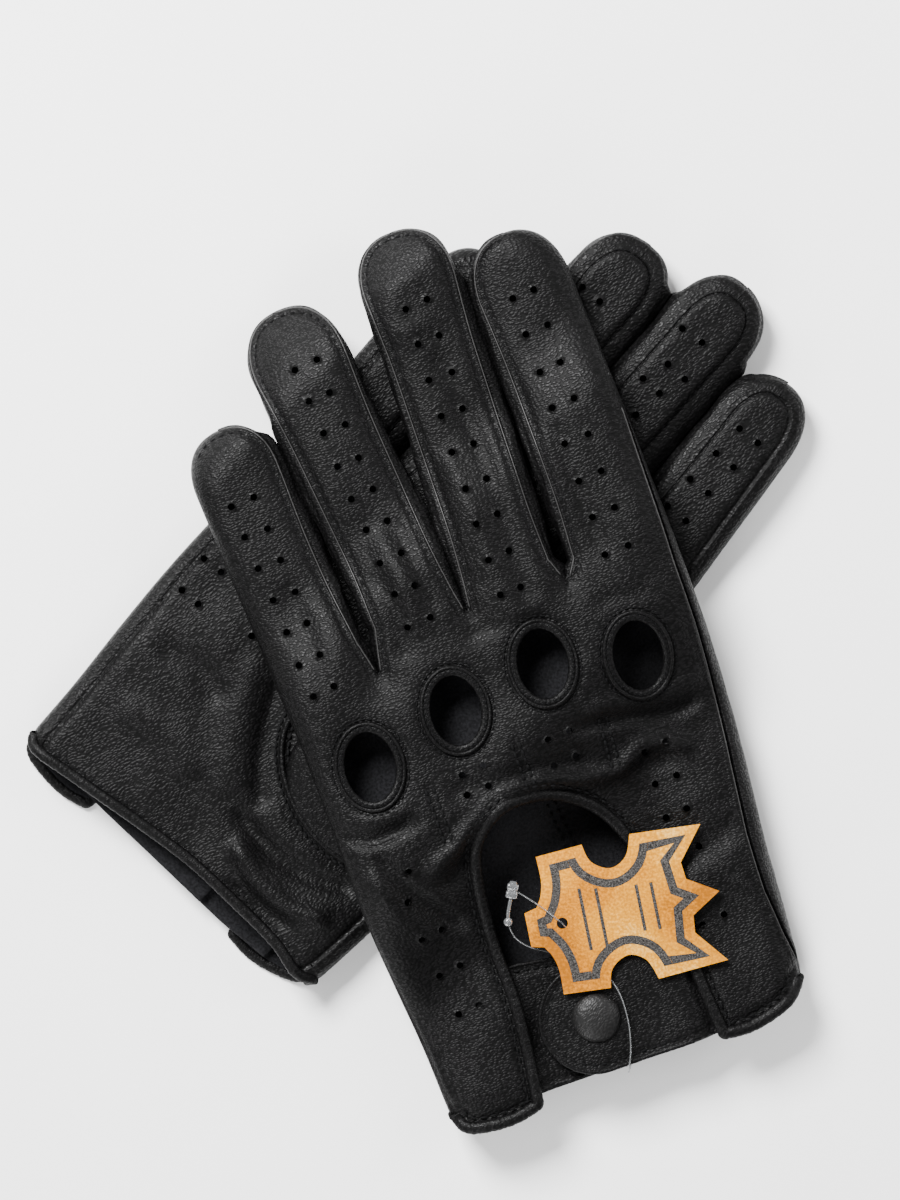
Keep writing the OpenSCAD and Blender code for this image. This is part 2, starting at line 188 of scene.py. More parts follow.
def near_line(line, q, closed=False, tree=None):
    """Distance from q to a polyline, the nearest point, its place along the line and its span."""
    line = arr(line)
    if len(line) > 60:
        m = len(line)
        i = nearest(tree or tree_of(line), q)[0]
        s0 = along(line)
        best = None
        for step in (-1, 1):
            k = (i + step) % m if closed else np.clip(i + step, 0, m - 1)
            a, b = line[i], line[k]
            ab = b - a
            t = np.clip(((q - a) * ab).sum(1) / np.maximum((ab ** 2).sum(1), 1e-12), 0, 1)
            e = a + t[:, None] * ab
            d = np.linalg.norm(q - e, axis=1)
            pos = s0[i] + step * t * np.linalg.norm(ab, axis=1)
            if best is None:
                best = [d, e, pos]
            else:
                w = d < best[0]
                best = [np.where(w, d, best[0]), np.where(w[:, None], e, best[1]),
                        np.where(w, pos, best[2])]
        return best[0], best[1], best[2], i
    a = line
    b = np.roll(line, -1, 0) if closed else line[1:]
    a = a if closed else a[:-1]
    s0 = along(np.vstack([line, line[:1]]) if closed else line)
    ab = b - a
    L2 = np.maximum((ab ** 2).sum(1), 1e-12)
    D, E, A, I = [], [], [], []
    for c in np.array_split(q, max(1, len(q) // 1500)):
        ac = c[:, None, :] - a[None]
        t = np.clip((ac * ab[None]).sum(2) / L2, 0, 1)
        e = a[None] + t[..., None] * ab[None]
        d = np.linalg.norm(c[:, None, :] - e, axis=2)
        i = d.argmin(1)
        r = np.arange(len(c))
        D.append(d[r, i])
        E.append(e[r, i])
        A.append(s0[i] + t[r, i] * np.sqrt(L2[i]))
        I.append(i)
    return np.concatenate(D), np.vstack(E), np.concatenate(A), np.concatenate(I)


# ---------------------------------------------------------------- glove outlines
# Fingers: base x and y, lean in degrees, length, half width at the base and further up, tip length
UPPER = [(-43.6, 120, 4.4, 75.6, 12.8, 12.1, 15), (-13.8, 121, 6, 100.5, 12.2, 13.4, 18),
         (11.2, 121, -0.5, 109.7, 12.6, 13.2, 17), (43.2, 121, 1.7, 99.4, 14.3, 13.3, 18)]
LOWER = [(-43.6, 120, 4, 60, 12.6, 12.1, 15), (-15.2, 121, 3, 90.4, 12.2, 13.3, 18),
         (10.6, 121, 2, 100, 12.6, 12.9, 17), (42.8, 121, 6.2, 89.4, 14, 12.5, 18)]
CROTCH = [(-29.4, 119.7), (-1.7, 127.5), (26.1, 127.5)]
HOLES = [(-39.7, 96.9), (-13.3, 103.7), (12.6, 108), (37.4, 101.8)]
HOLE_A, HOLE_B, LEAN = 7.0, 9.6, math.radians(8)
CAP_AT = np.array([-4.5, 13.2])
LITTLE_SIDE = [(-49.7, -1.5), (-50.1, 0.5), (-50.5, 3), (-51.3, 18), (-53.1, 38.4), (-54.5, 60),
               (-54.9, 84), (-55.6, 108)]
THUMB_SIDE = [(57.7, 108), (57.8, 92.4), (57.1, 75.6), (55.5, 56.4), (54.1, 39.6), (53.3, 24),
              (52.1, 8), (51.4, 4.9), (50.5, 2.4)]
LITTLE_HEM = [(-49.9, 0.6), (-47.6, -4.2), (-41, -5.9), (-33.4, -6.1), (-26.2, -4.4)]
ARCH = [(-25.4, 1), (-24, 12), (-23, 26), (-23.4, 44), (-20.4, 64.8), (-12, 73.6), (-3, 74.8),
        (6, 72), (14.5, 64.4), (20, 51), (23.2, 32), (24.3, 14), (25.2, 3)]
THUMB_HEM = [(26, -2.8), (33.5, -3.4), (40.5, -2.1), (47.2, 0.6), (51.1, 5)]
PALM_HEM = [(51.1, 4.6), (46, 2.6), (36.3, 4.6), (21.5, 5), (5, 4.9), (-15, 2.5), (-34.5, -0.4),
            (-46.6, -2), (-49.9, 0.6)]


def on_finger(f, u, v):
    """Plan points u across and v along the finger f."""
    a = math.radians(f[2])
    return np.column_stack([f[0] + u * math.cos(a) - v * math.sin(a),
                            f[1] + u * math.sin(a) + v * math.cos(a)])


def finger_side(f, side):
    """One side of a finger and its half of the tip."""
    k = np.linspace(0.14, 1, 16)[:-1]
    st = f[3] - f[6]
    u = side * (f[4] + (f[5] - f[4]) * k)
    a = np.radians(np.linspace(0, 90, 25))
    return np.vstack([on_finger(f, u, k * st),
                      on_finger(f, side * f[5] * np.cos(a) ** 0.85, st + f[6] * np.sin(a) ** 0.85)])


SPREAD = 21                    # points of the silhouette over which one edge turns into the next
FAR = 14.0                     # gaps wider than this all count as this wide


class Shape:
    """One glove's silhouette, and what its edge is made of along the way."""

    def __init__(self, g):
        self.f = f = UPPER if g == LEFT else LOWER
        parts = [("little", curve(LITTLE_SIDE))]
        for i in range(4):
            up, down = finger_side(f[i], -1), finger_side(f[i], 1)[::-1][1:]
            parts.append(("little" if i == 0 else "seam", up))
            parts.append(("index" if i == 3 else "seam", down))
            if i < 3:
                parts.append(("seam", arr([CROTCH[i]])))
        parts.append(("thumb", curve(THUMB_SIDE)))
        pts = np.vstack([p for _, p in parts])
        tag = np.array(sum([[t] * len(p) for t, p in parts], []))
        self.line = resample(pts, 0.6)
        self.s = along(self.line)
        tag = tag[np.searchsorted(along(pts), self.s).clip(0, len(tag) - 1)]
        t = tangents(self.line)
        self.n = np.column_stack([t[:, 1], -t[:, 0]])      # inwards: the line runs clockwise
        self.tree = tree_of(self.line)
        self.closed = np.vstack([self.line, [(51.2, -40), (-49.7, -40)]])
        tips = [on_finger(q, np.array([0.0]), np.array([q[3]]))[0] for q in f]
        self.tip_at = [closest(self.line, p) for p in tips]
        self.crotch_at = [a + closest(self.line[a:b], p)
                          for a, b, p in zip(self.tip_at, self.tip_at[1:], CROTCH)]
        y = self.line[:, 1]
        self.roll = spread((tag != "seam").astype(float), SPREAD)
        # the back panel reaches round the little-finger side; the side strip takes its place
        # on the index side
        self.wrap = spread(np.where(tag == "little", WRAP, 0.0), SPREAD)
        strip = np.interp(y, [0, 9.6, 18.2, 30.4, 46.3, 65.6, 86.7, 105, 121, 150, 176],
                          [0, 0.4, 2.3, 4.1, 4.6, 4.2, 3.5, 2.8, 2.6, 1.3, 0.0])
        self.back_in = np.where((tag == "thumb") | (tag == "index"), strip, 0.0)
        self.gap = np.full(len(y), FAR)        # room between a finger and its neighbour
        for t in np.arange(FAR, 0.4, -0.4):
            self.gap = np.where(inside(self.closed, self.line - self.n * t), t, self.gap)
        tip = np.array([self.tip_y(v) for v in self.line])
        reach = smooth((y - 124) / 26) * smooth((tip - y - 8) / 30)
        self.lip_in = spread((tag == "seam") * (0.25 + 1.25 * reach), SPREAD)

    def tip_y(self, v):
        """Height of the tip of the finger nearest to v."""
        k = min(self.f, key=lambda q: abs(v[0] - q[0] + (v[1] - q[1]) * math.tan(math.radians(q[2]))))
        return k[1] + k[3] * math.cos(math.radians(k[2]))

    def near(self, q):
        """Distance in from the silhouette (minus outside it), nearest point, inward normal, index."""
        d, e, a, _ = near_line(self.line, q, tree=self.tree)
        j = np.searchsorted(self.s, a).clip(0, len(self.s) - 1)
        sign = np.where(inside(self.closed, q), 1.0, -1.0)
        return d * sign, e, self.n[j], j


SHAPES = [Shape(RIGHT), Shape(LEFT)]


def rel_back(sh, d, j):
    """Height of the back over the middle of the glove, d in from the silhouette."""
    w = sh.roll[j]
    e = np.maximum(d - sh.lip_in[j], 0)
    seam = 3.2 + 2.8 * dome(e / ROLL)
    seam += 0.5 * bell(e - 0.7, 0.5) - 0.45 * bell(e - 1.8, 0.6)
    seam -= 0.9 * bell(e, 0.3)
    return (1 - w) * seam + w * HALF * dome(d / ROLL)


def rel_palm(d):
    """Height of the palm under the middle of the glove, d in from the silhouette."""
    return -HALF * dome(d / ROLL)


def bump_at(x, y, cx, cy, rx, ry):
    return np.exp(-((x - cx) / rx) ** 2 - ((y - cy) / ry) ** 2)


RIDGE_FADE = 6.0


def ridge(x, y, line, h, w, skew):
    """A soft fold along a line: h high, w wide, steeper on one side if skewed."""
    p = curve(line, 5)
    z = np.zeros_like(x)
    reach = 3.2 * w * (1 + abs(skew))
    lo, hi = p.min(0) - reach, p.max(0) + reach
    box = (x > lo[0]) & (x < hi[0]) & (y > lo[1]) & (y < hi[1])
    if not box.any():
        return z
    q = np.column_stack([x[box], y[box]])
    d, e, a, i = near_line(p, q)
    t = tangents(p)[i.clip(0, len(p) - 1)]
    side = np.sign((q - e)[:, 0] * -t[:, 1] + (q - e)[:, 1] * t[:, 0])
    ends = smooth(a / RIDGE_FADE) * smooth((along(p)[-1] - a) / RIDGE_FADE)
    z[box] = h * bell(d, w * (1 + skew * side)) * ends
    return z


def waves(x, y, seed, scale, turn=0.0, stretch=1.0):
    """Smooth seeded undulation, about -1 to 1."""
    r = np.random.default_rng(seed)
    c, s = math.cos(turn), math.sin(turn)
    u, v = (x * c + y * s) / scale, (-x * s + y * c) / (scale * stretch)
    z = np.zeros_like(x)
    for _ in range(9):
        a, ph, k = r.uniform(0, 2 * math.pi), r.uniform(0, 2 * math.pi), r.uniform(0.6, 1.6)
        z += np.sin(k * (u * math.cos(a) + v * math.sin(a)) * 2 * math.pi + ph)
    return z / 4.2


# Folds of the leather: (line, height, width, skew)
BACK_FOLDS = [
    # S-shaped ridge round the wrist opening, and the valley above it
    ([(-36, 67.8), (-32, 66), (-26.5, 68), (-19.4, 72.4), (-10.6, 76.4), (-0.4, 78), (6.4, 77), (13, 75),
      (21.6, 74), (27, 76), (31.5, 78.2), (38.7, 76), (45, 72)], 1.9, 2.3, 0.15),
    ([(-24, 79), (-18.7, 83.2), (-9, 82.6), (1.4, 82), (12.2, 79.8), (20, 79.4)], -0.7, 2.6, 0.0),
    ([(-34, 61), (-28, 61.5), (-23.5, 65), (-19.5, 69)], -1.1, 2.4, 0.0),
    # below the index knuckle
    ([(13, 87.6), (20, 87.9), (29.9, 86.6), (37, 84.8), (44, 84), (52, 86)], -1.4, 2.0, 0.2),
    ([(17, 92), (28, 91.4), (37, 89.8), (46, 90), (55, 93)], 0.9, 2.5, 0.0),
    ([(26, 71.5), (33, 72.6), (41, 70.2)], -0.8, 2.2, 0.0),
    ([(24, 43), (32, 45), (42, 48), (51, 52)], -0.9, 3.6, 0.0),
    ([(30, 60), (40, 60), (50, 63)], 0.4, 4.0, 0.0),
    # below the little knuckle, and down the tail
    ([(-54, 83), (-46.3, 78.2), (-38.6, 78.3), (-30, 79.6)], -1.6, 2.0, 0.2),
    ([(-49, 85), (-40, 83), (-31, 84)], 0.6, 2.2, 0.0),
    ([(-46, 76), (-42.5, 67), (-39.1, 60.1), (-33.9, 53.1), (-28, 46)], -1.5, 2.0, -0.2),
    ([(-50, 73), (-47, 62), (-42, 52), (-37, 44)], 0.8, 3.4, 0.0),
    ([(-37, 63), (-32, 56), (-28, 51)], 0.6, 2.0, 0.0),
    # along the fingers
    ([(-22, 118), (-20, 132), (-23, 148)], -0.9, 3.2, 0.0),
    ([(-15, 124), (-16, 142), (-19, 158)], 0.7, 3.0, 0.0),
    ([(-9, 128), (-11, 146), (-13, 160)], -0.7, 2.6, 0.0),
    ([(14, 122), (16, 150), (15, 176), (13, 198)], -0.9, 3.0, 0.0),
    ([(8, 132), (8, 152), (6, 172)], 0.7, 2.8, 0.0),
    ([(2, 130), (1, 150), (1, 166)], -0.5, 2.6, 0.0),
    ([(38, 128), (36, 148), (37, 170)], -0.7, 3.0, 0.0),
    ([(-45, 118), (-44, 134), (-46, 152)], -0.5, 3.2, 0.0),
    ([(0, 206), (8, 203), (18, 206)], 0.45, 3.0, 0.0),
    ([(2, 213), (10, 217), (18, 215)], 0.4, 2.4, 0.0),
    ([(-8, 121), (4, 121.5), (14, 119), (22, 118.5)], -0.5, 2.4, 0.0),
    ([(28, 119), (38, 118), (48, 117)], -0.5, 2.8, 0.0),
]
PALM_FOLDS = [
    ([(8, 18), (20, 14), (33, 14.5), (45, 20)], 1.2, 3.0, 0.1),
    ([(2, 24), (16, 22), (30, 24), (44, 31)], -1.0, 2.6, 0.0),
    ([(14, 9.5), (26, 9), (38, 11)], -0.7, 2.0, 0.0),
    ([(-13, 60), (-7, 48), (0, 37), (10, 27)], -0.7, 3.0, 0.2),
    ([(-21, 60), (-15, 46), (-8, 34), (2, 25)], 0.45, 3.6, 0.0),
    ([(-44, 40), (-30, 44), (-16, 42)], -0.5, 4.0, 0.0),
    ([(-40, 22), (-24, 26), (-8, 22)], 0.5, 4.5, 0.0),
    ([(-46, 76), (-30, 82), (-12, 84)], -0.5, 4.0, 0.0),
]


def folds(g, side, x, y):
    """Height the folds add to the back (side 1) or the palm (side -1); the hidden faces get half."""
    z = np.zeros_like(x)
    if side > 0:
        for line, h, w, k in BACK_FOLDS:
            z += ridge(x, y, line, h * (1.3 if g == LEFT else 0.5), w, k)
        z += 0.55 * waves(x, y, 3 + g, 42) + 0.22 * waves(x, y, 13 + g, 15, 0.5, 1.6)
        for cx, cy in CROTCH:
            z -= 0.7 * bump_at(x, y, cx, cy - 4, 6, 5)
        for cx, cy in HOLES:
            z -= 0.35 * bump_at(x, y, cx, cy, 13, 16)
        z += 0.5 * smooth((8 - np.abs(y - 4)) / 8) * bump_at(x, y, -38, 0, 16, 14)
    else:
        # heights count towards the palm's outer side
        for line, h, w, k in PALM_FOLDS:
            z -= ridge(x, y, line, 2.1 * h, w, k)
        z -= 0.6 * waves(x, y, 23 + g, 40) + 0.22 * waves(x, y, 33 + g, 13, 0.9, 1.7)
    return z * 0.5 if (g == RIGHT) == (side > 0) else z


def surfaces(g, x, y):
    """Heights of the palm face and the back face, folds included."""
    if g == LEFT:
        s = across(x, y)
        zp, zb = stations(s, PALM_ST), stations(s, BACK_ST) + T
    else:
        zp, zb = np.zeros_like(x), np.full_like(x, T)
    return zp + folds(g, -1, x, y), zb + folds(g, 1, x, y)


def left_place(x, y, z):
    """The left glove's own x and y, and a height, to metres."""
    c, s = math.cos(LEFT_TURN), math.sin(LEFT_TURN)
    return np.column_stack([LEFT_AT[0] + x * c - y * s, LEFT_AT[1] + x * s + y * c,
                            np.broadcast_to(z, len(x))]) * MM


def to_world(g, p, rel):
    """Plan points, rel from -HALF at the palm face to HALF at the back, to metres."""
    p, rel = arr(p), arr(rel)
    x, y = p[:, 0], p[:, 1]
    zp, zb = surfaces(g, x, y)
    between = np.clip(rel, -HALF, HALF)
    z = zp + (zb - zp) * (between + HALF) / T + (rel - between)
    if g == LEFT:
        return left_place(x, y, np.maximum(z, FLOOR_CLEAR))
    c, s = math.cos(RIGHT_TURN), math.sin(RIGHT_TURN)
    return np.column_stack([RIGHT_AT[0] + x * c + y * s, RIGHT_AT[1] - x * s + y * c,
                            np.maximum(LOW_TOP - z, FLOOR_CLEAR)]) * MM


# ---------------------------------------------------------------- making pieces
NAME = {RIGHT: "right", LEFT: "left"}
BODY = {RIGHT: "right_glove", LEFT: "left_glove"}
LEATHER = {RIGHT: "right_leather", LEFT: "left_leather"}
MATS = {}
BLENDS = []                    # pieces that two bodies share; once all are made, only their transforms are baked


def add(name, data, at=(0, 0, 0)):
    ob = bpy.data.objects.new(name, data)
    bpy.context.collection.objects.link(ob)
    ob.location = at
    return ob


def make(name, verts, faces, mat, body, node=None, mat_index=None, flat_shade=False, merge=False):
    """A piece: its mesh, materials, body, and the CAD nodes it replaces."""
    verts = arr(verts).copy()
    verts[:, 2] = np.maximum(verts[:, 2], FLOOR_CLEAR * MM)
    me = bpy.data.meshes.new(name)
    me.from_pydata([tuple(v) for v in verts], [], [tuple(int(i) for i in f) for f in faces])
    ob = add(name, me)
    for m in [mat] if isinstance(mat, str) else mat:
        me.materials.append(MATS[m])
    if mat_index is not None:
        me.polygons.foreach_set("material_index", mat_index)
    if not flat_shade:
        me.polygons.foreach_set("use_smooth", [True] * len(me.polygons))
    me.update()
    if merge:
        merge_points(me)
    if body:
        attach(ob, body)
    if node:
        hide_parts(*([node] if isinstance(node, str) else node))
    return ob


def merge_points(me):
    bm = bmesh.new()
    bm.from_mesh(me)
    bmesh.ops.remove_doubles(bm, verts=bm.verts, dist=1e-6)
    bmesh.ops.dissolve_degenerate(bm, edges=bm.edges, dist=1e-7)
    bm.to_mesh(me)
    bm.free()
    me.update()


def joined(parts):
    """Several (vertices, faces) as one."""
    V, F, base = [], [], 0
    for v, f in parts:
        V.append(v)
        F += [tuple(q + base for q in t) for t in f]
        base += len(v)
    return np.vstack(V), F


def ring_faces(rings, m, closed=False, capped=True):
    """Faces that join each ring of m points to the next, and close the two ends."""
    F = []
    for i in range(rings if closed else rings - 1):
        a, b = i * m, (i + 1) % rings * m
        F += [(a + k, a + (k + 1) % m, b + (k + 1) % m, b + k) for k in range(m)]
    if capped and not closed:
        F.append(tuple(range(m))[::-1])
        F.append(tuple((rings - 1) * m + k for k in range(m)))
    return F


def slab_faces(f, n):
    """Faces of a slab whose under side repeats f, n points on, and which side each is."""
    edge = {(a, b) for tr in f.tolist() for a, b in zip(tr, tr[1:] + tr[:1])}
    rim = [(a + n, b + n, b, a) for (a, b) in edge if (b, a) not in edge]
    return (f.tolist() + (f[:, ::-1] + n).tolist() + rim,
            [0] * len(f) + [1] * len(f) + [0] * len(rim))


def turned_over(faces):
    return [f[::-1] for f in faces]


def flip_for(g, faces):
    """The right glove is a mirror image, so its faces are turned over."""
    return turned_over(faces) if g == RIGHT else faces


def shell(verts, faces, t):
    """A closed sheet: the faces, the same faces t below them, and a rim; and each face's side."""
    v, f = arr(verts), np.asarray(faces)
    n = np.zeros_like(v)
    if f.shape[1] == 3:
        fn = np.cross(v[f[:, 1]] - v[f[:, 0]], v[f[:, 2]] - v[f[:, 0]])
    else:
        fn = np.cross(v[f[:, 2]] - v[f[:, 0]], v[f[:, 3]] - v[f[:, 1]])
    for k in range(f.shape[1]):
        np.add.at(n, f[:, k], fn)
    n /= np.maximum(np.linalg.norm(n, axis=1, keepdims=True), 1e-12)
    N = len(v)
    edge = dict.fromkeys((a, b) for face in f.tolist() for a, b in zip(face, face[1:] + face[:1]))
    rim = [(b, b + N, a + N, a) for (a, b) in edge if (b, a) not in edge]
    return (np.vstack([v, v - n * t]), f.tolist() + (f[:, ::-1] + N).tolist() + rim,
            [0] * len(f) + [1] * len(f) + [0] * len(rim))


def signed_area(p):
    return 0.5 * np.sum(p[:, 0] * np.roll(p[:, 1], -1) - np.roll(p[:, 0], -1) * p[:, 1])


def inset_rows(o, steps):
    """Copies of a closed outline, moved in by each of the steps."""
    n = tangents(o, True)
    n = np.column_stack([-n[:, 1], n[:, 0]]) * (1 if signed_area(o) > 0 else -1)
    return np.vstack([o + n * r for r in steps])


HOLE_REACH = 16                # points farther than this from a hole's centre aren't near its edge


def triangulate(outline, holes, spacing, extra=None):
    """Constrained mesh of an outline with holes, on a jittered hexagonal grid."""
    outline = arr(outline)
    lo, hi = outline.min(0), outline.max(0)
    xs = np.arange(lo[0], hi[0], spacing)
    ys = np.arange(lo[1], hi[1], spacing * 0.866)
    gx, gy = np.meshgrid(xs, ys)
    gx = gx + (np.arange(len(ys)) % 2)[:, None] * spacing / 2
    q = np.column_stack([gx.ravel(), gy.ravel()])
    q += rng.uniform(-0.12, 0.12, q.shape) * spacing
    if extra is not None:
        q = np.vstack([extra, q[near_points(extra, q) > 0.55 * spacing]])
    q = q[in_leather(outline, holes, q)]
    ok = near_line(outline, q, closed=True)[0] > 0.35 * spacing
    for h in holes:
        box = (np.abs(q - arr(h).mean(0)) < HOLE_REACH).all(1)
        if box.any():
            ok[box] &= near_line(h, q[box], closed=True)[0] > 0.4 * spacing
    pts, edges = [], []
    for loop in [outline] + list(holes):
        b = len(pts)
        pts += [tuple(p) for p in loop]
        edges += [(b + i, b + (i + 1) % len(loop)) for i in range(len(loop))]
    pts += [tuple(p) for p in q[ok]]
    v, _, f, *_ = delaunay_2d_cdt(pts, edges, [], 0, 1e-5, False)
    v = arr([(p[0], p[1]) for p in v])
    f = np.asarray([t for t in f if len(t) == 3])
    f = f[in_leather(outline, holes, v[f].mean(1))]
    used = np.unique(f)
    back = np.full(len(v), -1)
    back[used] = np.arange(len(used))
    v, f = v[used], back[f]
    ab, ac = v[f[:, 1]] - v[f[:, 0]], v[f[:, 2]] - v[f[:, 0]]
    turned = ab[:, 0] * ac[:, 1] - ab[:, 1] * ac[:, 0] < 0
    f[turned] = f[turned][:, ::-1]
    return v, f


def in_leather(outline, holes, q):
    """Which of q lie in the outline and in none of the holes."""
    ok = inside(outline, q)
    for h in holes:
        ok &= ~inside(h, q)
    return ok


def near_points(pts, q):
    """Distance from each of q to the nearest of pts."""
    return nearest(tree_of(pts), q)[1]


def ellipse(c, a, b, n=48, lean=LEAN):
    """n points round an ellipse: a across, b up, leaning to the right."""
    t = np.linspace(0, 2 * math.pi, n, endpoint=False)
    return np.column_stack([c[0] + a * np.cos(t) * math.cos(lean) + b * np.sin(t) * math.sin(lean),
                            c[1] - a * np.cos(t) * math.sin(lean) + b * np.sin(t) * math.cos(lean)])


def circle(c, r, n=12):
    return ellipse(c, r, r, n, 0)


# Perforations: each (x, y, 2) is a pair of holes 6.2 mm apart about x and y, (x, y, 1) a single one
PERF_R, PERF_HALF, PERF_TILT = 0.92, 3.1, 0.09
KNUCKLE_Y = 118                # beyond this the rows stretch or shrink with the fingers
BACK_PERF = []
for ya, yb, xa, xb, n in ((175, 120, -48.9, -44.8, 7), (204, 129, -21.2, -14.9, 9),
                          (209.5, 129, 12.2, 10.8, 9), (203, 130.3, 40, 41, 8)):
    for t in [k / (n - 1) for k in range(n)]:
        BACK_PERF.append((xa + (xb - xa) * t, ya + (yb - ya) * t, 2))
BACK_PERF += [(-14, 87.5, 2), (-14.8, 81.7, 2), (10.6, 88.5, 2), (9.8, 81.4, 2), (33.9, 76.8, 2),
              (34, 67.4, 2), (33.8, 58.3, 2), (33.4, 47.5, 2), (33.8, 27.9, 2), (-39, 67.4, 1),
              (-42.2, 59.5, 1), (-38.9, 48.9, 2), (-37.8, 38, 2), (-36.3, 26, 2)]
PALM_PERF = [(-46, 67, 2), (-44.5, 56.5, 2), (-25.4, 60.4, 1), (35, 192, 2), (34.8, 182.7, 2),
             (34.5, 173, 2), (35, 163.6, 2), (35.4, 153.6, 2), (5.2, 201, 2), (8.6, 191, 2),
             (6.4, 183.5, 2), (6, 175, 2), (6.4, 165, 2), (-22.4, 190.4, 2), (-21.4, 180, 2),
             (-20.6, 169.6, 2)]
# Double rows of stitches behind the knuckles, the seam round the thumb's base, and a seam inside
# the palm that shows through the wrist opening
KNUCKLE_ROWS = [((-26.7, 86.7), (-26.5, 71.1)), ((-1.2, 90.7), (-0.9, 77.9)), ((23.1, 89.2), (22.3, 75))]
THUMB_SEAM = [(-3.4, 57), (-1.4, 48.6), (3.8, 41.8), (10.4, 37.2), (18, 34.2), (26.8, 33), (36, 34.2),
              (43, 38)]
INNER_SEAM = [(2.6, 72), (3.4, 64), (5.2, 52), (8.5, 42)]


def perforations(g, rows):
    """Centres of the punched holes, each a hair off its place."""
    grow = {(RIGHT, True): 0.9, (LEFT, False): 1.08}.get((g, rows is BACK_PERF))
    out = []
    for x, y, n in rows:
        if grow and y > KNUCKLE_Y:
            y = KNUCKLE_Y + (y - KNUCKLE_Y) * grow
        for w in (-PERF_HALF, PERF_HALF) if n == 2 else (0,):
            out.append((x + w + rng.uniform(-0.25, 0.25), y + w * PERF_TILT + rng.uniform(-0.3, 0.3)))
    return out


def back_edge():
    """The back panel's hems and the wrist opening's edge between them."""
    return np.vstack([curve(LITTLE_HEM), curve(ARCH), curve(THUMB_HEM)])


def panel(g, side, W, f):
    """A back or palm: a closed shell of leather."""
    V, F, idx = shell(W, flip_for(g, f), LEATHER_T * MM)
    ob = make("%s_%s" % (NAME[g], side), V, F, (LEATHER[g], "suede"), BODY[g],
              "%s_%s_panel" % (NAME[g], side), idx)


def back_panel(g):
    sh = SHAPES[g]
    inset = sh.back_in + sh.lip_in
    out = sh.line + sh.n * (inset - sh.wrap)[:, None]
    pts = np.vstack([out, resample(back_edge(), 0.9)[::-1]])
    perf = perforations(g, BACK_PERF)
    holes = ([ellipse(c, HOLE_A + 0.7, HOLE_B + 0.7) for c in HOLES]
             + [circle(c, PERF_R) for c in perf])
    line, n, inset = sh.line[::2], sh.n[::2], inset[::2, None]
    rows = np.vstack([line + n * (r + inset) for r in (0.45, 0.95, 1.45, 1.95, 2.5, 3.3, 4.3)]
                     + [line - n * r for r in (0.0, 0.5, 1.1, 1.8, 2.6, 3.4, 4.1)])
    v, f = triangulate(pts, holes, 1.2, rows)
    d, e, n, j = sh.near(v)
    q = np.abs(d) * (np.minimum(np.abs(d), 3) / 3) ** sh.roll[j]
    q = np.where(d < 0, np.abs(d), q)
    q = np.where((sh.back_in[j] > 0.05) & (d > 0), d, q)
    plan = np.where((d < 0)[:, None] | (q < d - 1e-6)[:, None], e + n * q[:, None], v)
    rel = np.where(d >= 0, rel_back(sh, q, j), rel_palm(q))
    # the seams at the panel's own edges draw the leather in
    rel += 0.8 * (np.where(sh.wrap[j] > 0.3, 1.0, 0.0) * bell(d + sh.wrap[j], 0.8))
    strip = np.clip(sh.back_in[j] / 0.6, 0, 1)
    e = d - sh.back_in[j]
    rel += strip * (0.45 * bell(e - 0.7, 0.6) - 1.5 * bell(e, 0.42))
    # outseam along the little-finger side of the hand
    low = np.clip((96 - plan[:, 1]) / 12, 0, 1) * (plan[:, 0] < 0) * (d > -1)
    e = d - np.interp(plan[:, 1], [0, 45, 90], [1.9, 1.3, 0.3])
    rel += low * (0.3 * bell(e - 0.7, 0.45) - 0.75 * bell(e, 0.38))
    # dimples at the punched holes, grooves under the stitching, and the rims of the openings
    rel -= 0.3 * bell(near_points(arr(perf), v), 1.3)
    for row in KNUCKLE_ROWS:
        rel -= 0.55 * bell(near_line(resample(arr(row), 0.8), v)[0], 1.4)
    for c in HOLES:
        rel -= 0.35 * bell(near_line(ellipse(c, HOLE_A + 2.7, HOLE_B + 2.7), v, closed=True)[0], 1.2)
    rel -= 0.8 * bell(near_line(back_edge(), v)[0] - 3.1, 0.9)
    panel(g, "back", to_world(g, plan, rel), [tuple(t) for t in f])


def palm_panel(g):
    sh = SHAPES[g]
    line = resample(sh.line + sh.n * WRAP, 0.7)
    line = line[near_line(sh.line, line)[0] > 4.45]
    hem = resample(curve(PALM_HEM), 0.9)
    hem = hem[near_line(sh.line, hem)[0] > 4.5]
    pts = np.vstack([line, hem])
    perf = perforations(g, PALM_PERF)
    holes = [circle(c, PERF_R) for c in perf]
    rows = np.vstack([sh.line[::2] + sh.n[::2] * (r + WRAP) for r in (0.45, 0.95, 1.5, 2.2, 3.0)])
    v, f = triangulate(pts, holes, 1.25, rows)
    d = sh.near(v)[0]
    rel = rel_palm(d)
    rel += 0.9 * bell(d - WRAP, 0.8)
    if g == RIGHT:
        ds = near_line(curve(THUMB_SEAM), v)[0]
        rel += 0.75 * bell(ds - 2.0, 1.1) - 0.5 * bell(ds, 1.1)
    rel += 0.3 * bell(near_points(arr(perf), v), 1.3)
    panel(g, "palm", to_world(g, v, rel), [tuple(t[::-1]) for t in f])


RIBBON_POINTS = 33             # across a ribbon


